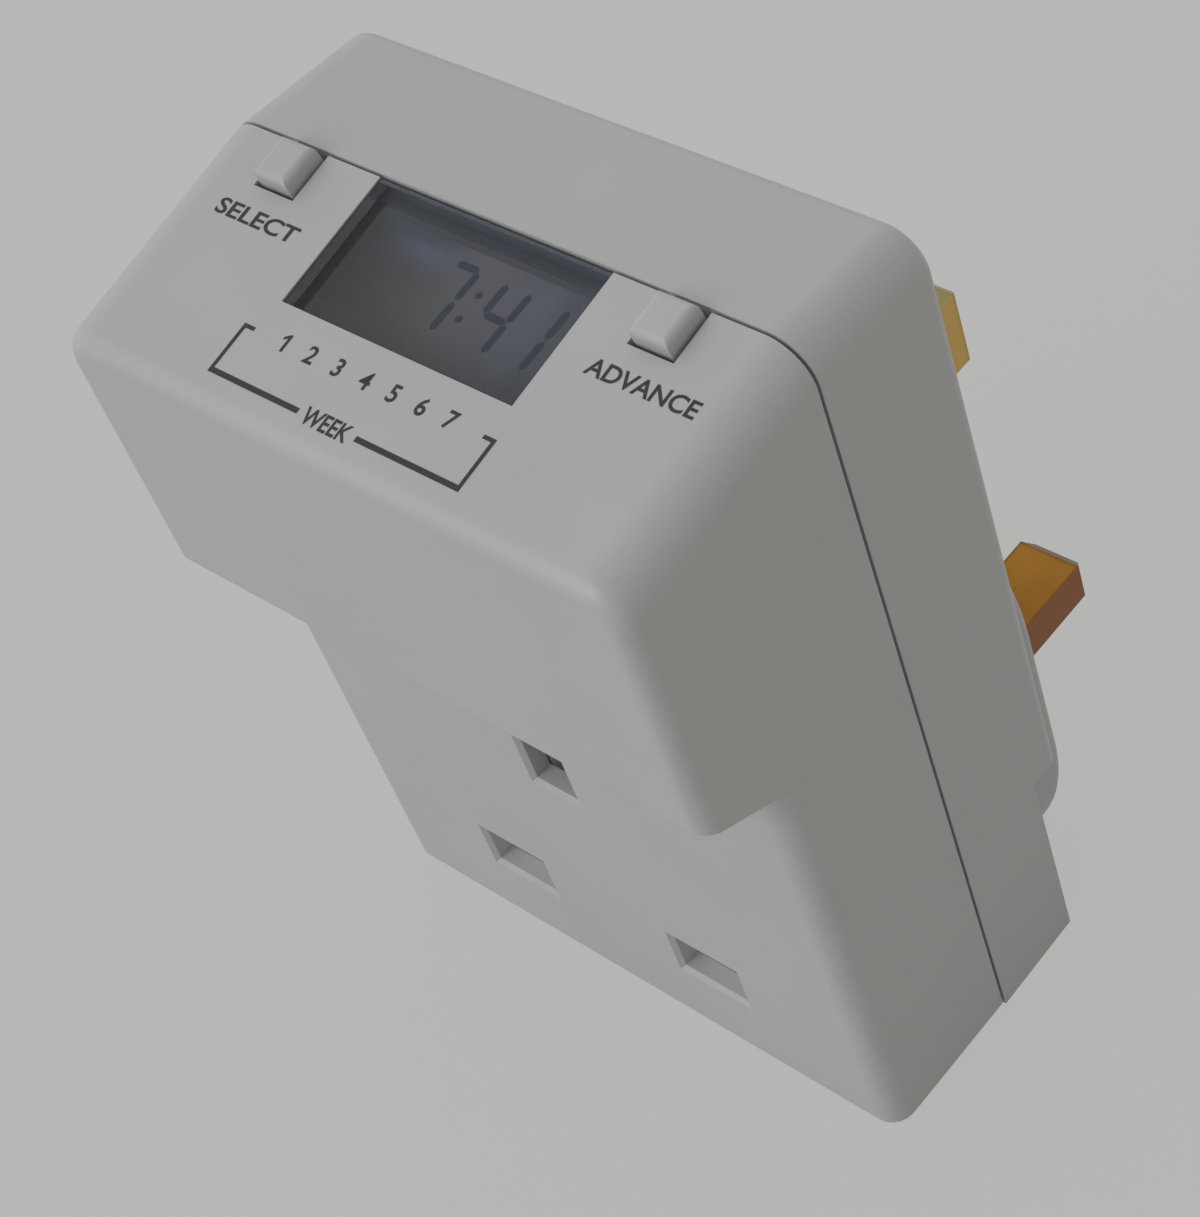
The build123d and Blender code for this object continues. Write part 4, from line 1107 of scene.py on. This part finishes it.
@dataclass
class Polariser:
    """Sheet laid on the liquid crystal panel, a little smaller than the panel."""

    face: FacePlane
    film: bpy.types.Material
    thickness: float = 0.04 * MILLI
    inset: float = 0.6 * MILLI

    def build(self) -> None:
        """Lays the sheet on the panel."""
        height, low, high = self.face.top("lcd_panel")
        room = Vector((self.inset, self.inset))
        bm = bmesh.new()
        add_prism(bm, rectangle(low + room, high - room), height, self.top(), self.face.matrix())
        add_piece("polariser", bm, self.film)

    def top(self) -> float:
        """Height of the sheet's upper side."""
        return self.face.top("lcd_panel")[0] + self.thickness


@dataclass
class DisplayReading:
    """Hour and minutes shown by the liquid crystal: seven-segment figures on the polariser."""

    face: FacePlane
    dark: bpy.types.Material
    bottom: float
    thickness: float = 0.02 * MILLI
    text: str = "7:41"
    foot_s: float = -8.8 * MILLI
    height: float = 5.65 * MILLI
    width: float = 2.3 * MILLI
    right_x: float = 8.81 * MILLI
    pitch: float = 3.74 * MILLI
    colon_room: float = 1.44 * MILLI
    colon_places: Point = (0.3, 0.7)
    dot_turn: int = 30
    stroke: float = 0.62 * MILLI
    lean: float = 0.07
    gap: float = 0.06 * MILLI

    def build(self) -> None:
        """Lays the figures on the polariser, from the last one to the left."""
        bm = bmesh.new()
        x = self.right_x
        for mark in reversed(self.text):
            if mark == ":":
                self.colon(bm, x)
                x -= self.colon_room
            else:
                self.figure(bm, mark, x - self.width)
                x -= self.pitch
        add_piece("display_reading", bm, self.dark)

    def add_shape(self, bm: bmesh.types.BMesh, corners: list[Point]) -> None:
        """Adds one lit shape, with the figures' lean.

        Args:
            bm: Mesh that takes it.
            corners: Its corners on the upright grid.
        """
        outline = [(x + self.lean * (s - self.foot_s), s) for x, s in corners]
        add_prism(bm, outline, self.bottom, self.bottom + self.thickness, self.face.matrix())

    def figure(self, bm: bmesh.types.BMesh, mark: str, left: float) -> None:
        """Adds the lit segments of one figure.

        Args:
            bm: Mesh that takes them.
            mark: The figure.
            left: Its left edge.
        """
        right, foot, top = left + self.width, self.foot_s, self.foot_s + self.height
        middle = (foot + top) / 2
        ends = {
            "a": ((left, top), (right, top)),
            "b": ((right, top), (right, middle)),
            "c": ((right, middle), (right, foot)),
            "d": ((left, foot), (right, foot)),
            "e": ((left, middle), (left, foot)),
            "f": ((left, top), (left, middle)),
            "g": ((left, middle), (right, middle)),
        }
        for name in FIGURE_SEGMENTS[mark]:
            self.segment(bm, *ends[name])

    def segment(self, bm: bmesh.types.BMesh, start: Point, end: Point) -> None:
        """Adds one six-cornered segment between two points of the grid.

        Args:
            bm: Mesh that takes it.
            start: First end.
            end: Second end.
        """
        first, last = Vector(start), Vector(end)
        way = (last - first).normalized()
        side = Vector((-way.y, way.x)) * self.stroke / 2
        first, last = first + way * self.gap, last - way * self.gap
        nose = way * self.stroke / 2
        corners = [
            first,
            first + nose + side,
            last - nose + side,
            last,
            last - nose - side,
            first + nose - side,
        ]
        self.add_shape(bm, [tuple(corner) for corner in corners])

    def colon(self, bm: bmesh.types.BMesh, x: float) -> None:
        """Adds the two dots between hour and minutes.

        Args:
            bm: Mesh that takes them.
            x: Middle of the dots.
        """
        radius = self.stroke / 2
        turns = [math.radians(turn) for turn in range(0, 360, self.dot_turn)]
        for share in self.colon_places:
            s = self.foot_s + share * self.height
            dot = [(x + math.cos(turn) * radius, s + math.sin(turn) * radius) for turn in turns]
            self.add_shape(bm, dot)


# ---- Shutter spring -------------------------------------------------------------------


@dataclass
class ShutterCoil:
    """Round-wire coil spring over the shutter, wound at one length; the real spring shortens as
    the shutter rises.
    """

    steel: bpy.types.Material
    wire: float = 0.4 * MILLI
    turns: int = 7
    turn_steps: int = 28
    wire_sides: int = 10

    def build(self) -> None:
        """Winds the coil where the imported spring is, with its fixed end at the top."""
        low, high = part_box("shutter_spring")
        middle, half_wire = (low + high) / 2, self.wire / 2
        radius = (high.x - low.x) / 2 - half_wire
        foot, rise = low.z + half_wire, high.z - low.z - self.wire
        steps = self.turns * self.turn_steps
        climb = rise / (self.turns * math.tau * radius)
        sides = [math.tau * side / self.wire_sides for side in range(self.wire_sides)]
        bm = bmesh.new()
        rings = []
        for step in range(steps + 1):
            turn = math.tau * step / self.turn_steps
            outward = Vector((math.cos(turn), math.sin(turn), 0.0))
            along = Vector((-math.sin(turn), math.cos(turn), climb)).normalized()
            upward = outward.cross(along)
            level = foot + rise * step / steps
            centre = Vector((middle.x, middle.y, level)) + outward * radius
            rims = [outward * math.cos(side) + upward * math.sin(side) for side in sides]
            rings.append([bm.verts.new(centre + half_wire * rim) for rim in rims])
        for ring, after in zip(rings, rings[1:]):
            add_walls(bm, ring, after)
        bm.faces.new(rings[0])
        bm.faces.new(list(reversed(rings[-1])))
        coil = add_piece("shutter_coil", bm, self.steel)
        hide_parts("shutter_spring")
        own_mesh(coil)


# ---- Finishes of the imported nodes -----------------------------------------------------


def tip_box(name: str, reach: float = 2 * MILLI) -> tuple[Vector, Vector]:
    """Lowest and highest corners of a pin's outermost length.

    Args:
        name: Node of the pin.
        reach: Length behind the tip that is measured.

    Returns:
        The two corners.
    """
    spots = vertices(name)
    tip = max(spot.y for spot in spots)
    return extent([spot for spot in spots if tip - spot.y < reach])


def span(name: str) -> Point:
    """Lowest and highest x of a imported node."""
    low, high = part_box(name)
    return low.x, high.x


class Finishes:
    """The finish of every material slot of the record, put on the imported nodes."""

    def __init__(self) -> None:
        """Makes the materials, whose bands and shades take their place from the nodes."""
        plans = {
            Slot.HOUSING: MouldedPlastic("off_white_housing", (0.456, 0.457, 0.457)),
            Slot.BUTTON: MouldedPlastic(
                "off_white_button", (0.459, 0.46, 0.46), roughness=0.4, sheen=0.35
            ),
            Slot.WINDOW: ClearPane("clear_window", (0.9, 0.93, 0.95)),
            Slot.DISPLAY: MouldedPlastic(
                "display_glass", (0.04, 0.042, 0.052), 0.3, grain_depth=0.0, sheen=0.1
            ),
            Slot.BLACK: MouldedPlastic(
                "matt_black_moulding", (0.052, 0.06, 0.076), 0.6, sheen=0.1
            ),
            Slot.STRIP: MouldedPlastic(
                "strip_rubber", (0.09, 0.09, 0.09), 0.7, cloud=0.4, cloud_size=0.3 * MILLI
            ),
            Slot.BOARD: SolderMask("green_board", (0.03, 0.16, 0.07), (0.05, 0.26, 0.1)),
            Slot.RESIN: MouldedPlastic(
                "black_resin", (0.012, 0.012, 0.012), 0.22, cloud=0.3, coat=0.3
            ),
            Slot.CONTACT: DrawnMetal(
                "contact_brass", (0.72, 0.47, 0.13), (0.55, 0.3, 0.07), 0.32, Axis.UP
            ),
            Slot.STEEL: DrawnMetal(
                "plated_steel", (0.6, 0.6, 0.6), (0.45, 0.45, 0.43), 0.3, Axis.ACROSS
            ),
            Slot.WINDING: WoundWire("copper_winding", (0.6, 0.22, 0.07)),
            # Pale shutter plastic, raised further in colour as painted light against the shade of the apertures
            Slot.SHUTTER: MouldedPlastic("shutter_painted_light", (0.8, 0.8, 0.795), roughness=0.4),
            Slot.CARRIER: MouldedPlastic("natural_carrier", (0.4, 0.4, 0.36), roughness=0.45),
            Slot.RELAY: MouldedPlastic(
                "blue_relay", (0.02, 0.04, 0.16), 0.25, cloud=0.1, coat=0.2
            ),
            Slot.CELL: ShrunkSleeve(
                "green_cell_sleeve", (0.05, 0.24, 0.12), (0.4, 0.42, 0.3), *span("backup_battery")
            ),
            Slot.CAPACITOR: MouldedPlastic(
                "yellow_case", (0.55, 0.4, 0.04), 0.3, cloud=0.05, coat=0.2
            ),
            Slot.CAN: ShrunkSleeve(
                "black_can_sleeve",
                (0.02, 0.024, 0.04),
                (0.3, 0.3, 0.3),
                *span("smoothing_capacitor"),
            ),
            Slot.VARISTOR: MouldedPlastic(
                "blue_coat", (0.03, 0.1, 0.35), 0.3, cloud=0.1, cloud_size=1 * MILLI, coat=0.3
            ),
            Slot.RESISTOR: BandedLacquer(
                "resistor_lacquer",
                (0.32, 0.45, 0.42),
                ((0.2, 0.05, 0.02), (0.01, 0.01, 0.01), (0.5, 0.12, 0.02), (0.45, 0.33, 0.1)),
                *span("dropper_resistor"),
            ),
        }
        self.materials = {slot: plan.build() for slot, plan in plans.items()}
        self.pins = {
            name: PinBrass(name + "_brass", *tones, *tip_box(name)).build()
            for name, tones in PIN_PAINTED_LIGHT_TONES.items()
        }
        self.ink = PadInk("mark_ink", (0.034, 0.034, 0.037)).build()
        self.mask = PadInk("mask_ink", (0.046, 0.046, 0.049), sheen=0.1).build()
        # Lighter bluish copy of the mask ink for the ring's back wall: painted light
        self.lit_mask = PadInk("mask_ink_painted_light", (0.068, 0.073, 0.086), sheen=0.1).build()
        self.figure = PadInk("figure_film", (0.014, 0.016, 0.034), sheen=0.05).build()
        low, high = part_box("lcd_panel")
        # The film's tones across it, its sheen, edge and rim are painted light and shade
        self.film = DisplayFilm(
            "polariser_film",
            left=(0.027, 0.025, 0.029),
            middle=(0.112, 0.104, 0.106),
            right=(0.1, 0.108, 0.132),
            sheen=(0.095, 0.112, 0.165),
            edge=(0.042, 0.052, 0.082),
            rim=(0.25, 0.25, 0.27),
            low=low,
            high=high,
        ).build()

    def dress(self) -> None:
        """Puts each node's finish on its object."""
        for part in frame["record"]["subparts"]:
            name, slot = part["node"], Slot(part["material_slot"])
            material = self.pins[name] if slot is Slot.PIN else self.materials[slot]
            mesh = frame["nodes"][name].data
            mesh.materials.clear()
            mesh.materials.append(material)
            log.info("node %s: %s", name, material.name)


# ---- Floor, light and camera ----------------------------------------------------------


@dataclass
class Studio:
    """Pale floor, surrounding light that is stronger from the left, and a broad soft lamp."""

    backdrop: float = 0.488
    floor_colour: Colour = (0.5, 0.487, 0.455)
    floor_shadow: float = 0.1
    floor_half: float = 4.0
    surround: float = 0.863
    surround_slope: Direction = (-0.355, 0.189, -0.351)
    weak_tint: Colour = (1.01, 1.0, 0.96)
    strong_tint: Colour = (0.98, 1.0, 1.005)
    lamp_level: float = 0.33
    lamp_tint: Colour = (0.99, 1.0, 1.05)
    lamp_way: Direction = (-0.185, -0.838, 0.513)
    lamp_distance: float = 2.0
    lamp_side: float = 1.3

    def build(self) -> None:
        """Makes the floor, the surrounding light and the lamp."""
        low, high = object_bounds()
        self.floor(low.z)
        self.surroundings()
        self.lamp((low + high) / 2)

    def seen_backdrop(self, tree: Tree) -> Socket:
        """Marks the rays that show the backdrop plainly: camera, glossy and transmission rays.

        Args:
            tree: Tree that takes the nodes.

        Returns:
            A factor that is 1 for these rays and 0 for all others.
        """
        path = tree.nodes.new("ShaderNodeLightPath")
        total = path.outputs["Is Camera Ray"]
        for name in ("Is Glossy Ray", "Is Transmission Ray"):
            total = joined(tree, Joining.LARGER, total, path.outputs[name])
        return total

    def floor(self, height: float) -> None:
        """Lays the floor under the object.

        Args:
            height: Level of the floor.
        """
        bm = bmesh.new()
        bmesh.ops.create_grid(bm, x_segments=2, y_segments=2, size=self.floor_half)
        mesh = bpy.data.meshes.new("floor")
        bm.to_mesh(mesh)
        bm.free()
        mesh.materials.append(self.floor_material())
        floor = bpy.data.objects.new("floor", mesh)
        floor.location.z = height
        bpy.context.scene.collection.objects.link(floor)
        floor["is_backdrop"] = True
        log.info("floor at %.4f m", height)

    def floor_material(self) -> bpy.types.Material:
        """Matt paint that shows as the plain backdrop, with a faint shadow.

        Returns:
            The material.
        """
        material = bpy.data.materials.new("pale_floor")
        material.use_nodes = True
        tree = material.node_tree
        tree.nodes.clear()
        output = tree.nodes.new("ShaderNodeOutputMaterial")
        matt = tree.nodes.new("ShaderNodeBsdfDiffuse")
        matt.inputs["Color"].default_value = (*self.floor_colour, 1.0)
        plain = tree.nodes.new("ShaderNodeEmission")
        plain.inputs["Color"].default_value = (self.backdrop,) * 3 + (1.0,)
        seen = self.seen_backdrop(tree)
        share = joined(tree, Joining.PRODUCT, seen, 1 - self.floor_shadow)
        mix = tree.nodes.new("ShaderNodeMixShader")
        tree.links.new(share, mix.inputs["Fac"])
        tree.links.new(matt.outputs["BSDF"], mix.inputs[1])
        tree.links.new(plain.outputs["Emission"], mix.inputs[2])
        tree.links.new(mix.outputs["Shader"], output.inputs["Surface"])
        return material

    def surroundings(self) -> None:
        """Lights the object from all round, more from the left, behind a plain backdrop."""
        world = bpy.data.worlds.new("studio")
        bpy.context.scene.world = world
        world.use_nodes = True
        tree = world.node_tree
        tree.nodes.clear()
        output = tree.nodes.new("ShaderNodeOutputWorld")
        ground = tree.nodes.new("ShaderNodeBackground")
        slope = tree.nodes.new("ShaderNodeVectorMath")
        slope.operation = "DOT_PRODUCT"
        slope.inputs[1].default_value = self.surround_slope
        tree.links.new(tree.nodes.new("ShaderNodeTexCoord").outputs["Generated"], slope.inputs[0])
        rise = slope.outputs["Value"]
        reach = Vector(self.surround_slope).length
        seen = self.seen_backdrop(tree)
        share = ranged(tree, rise, (-reach, reach))
        tint = mixed(tree, share, self.weak_tint, self.strong_tint)
        colour = mixed(tree, seen, tint, (self.backdrop,) * 3)
        tree.links.new(colour, ground.inputs["Color"])
        strength = tree.nodes.new("ShaderNodeMix")
        level = joined(tree, Joining.SUM, rise, self.surround)
        tree.links.new(seen, strength.inputs["Factor"])
        tree.links.new(level, strength.inputs["A"])
        strength.inputs["B"].default_value = 1.0
        tree.links.new(strength.outputs["Result"], ground.inputs["Strength"])
        tree.links.new(ground.outputs["Background"], output.inputs["Surface"])

    def lamp(self, centre: Vector) -> None:
        """Hangs the broad lamp, whose level is what a white matt face square to it takes on.

        Args:
            centre: Middle of the object, at which the lamp points.
        """
        way = Vector(self.lamp_way).normalized()
        data = bpy.data.lights.new("broad_lamp", "AREA")
        data.shape = "SQUARE"
        data.size = self.lamp_side
        data.color = self.lamp_tint
        data.energy = self.lamp_level * math.pi**2 * self.lamp_distance**2
        lamp = bpy.data.objects.new("broad_lamp", data)
        lamp.location = centre + way * self.lamp_distance
        lamp.rotation_euler = way.to_track_quat("Z", "Y").to_euler()
        bpy.context.scene.collection.objects.link(lamp)
        log.info("lamp of %.2f W", data.energy)


@dataclass
class Viewpoint:
    """Camera above the right shoulder of the object."""

    location: Direction = (0.141577, -0.112785, 0.20706)
    forward: Direction = (-0.58004, 0.36991, -0.72575)
    up: Direction = (-0.36343, 0.67984, 0.63697)
    lens: float = 90.06
    sensor: float = 36.0
    clip_start: float = 10 * MILLI

    def build(self) -> None:
        """Makes the camera and gives it to the scene."""
        back = -Vector(self.forward).normalized()
        right = Vector(self.up).cross(back).normalized()
        data = bpy.data.cameras.new("camera")
        data.sensor_width = self.sensor
        data.lens = self.lens
        data.clip_start = self.clip_start
        camera = bpy.data.objects.new("camera", data)
        turn = Matrix((right, back.cross(right), back)).transposed().to_4x4()
        camera.matrix_world = Matrix.Translation(self.location) @ turn
        bpy.context.scene.collection.objects.link(camera)
        bpy.context.scene.camera = camera


def main() -> None:
    """Builds the scene."""
    logging.basicConfig(level=logging.INFO, format="%(name)s: %(message)s")
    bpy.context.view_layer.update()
    bpy.context.scene.view_settings.view_transform = "Standard"
    Viewpoint().build()
    finishes = Finishes()
    finishes.dress()
    face = FacePlane.from_frame()
    PrintedMarks(face, finishes.ink).build()
    WindowMask(face, finishes.mask, finishes.lit_mask).build()
    polariser = Polariser(face, finishes.film)
    polariser.build()
    DisplayReading(face, finishes.figure, polariser.top()).build()
    ShutterCoil(finishes.materials[Slot.STEEL]).build()
    Studio().build()


if __name__ == "__main__":
    main()
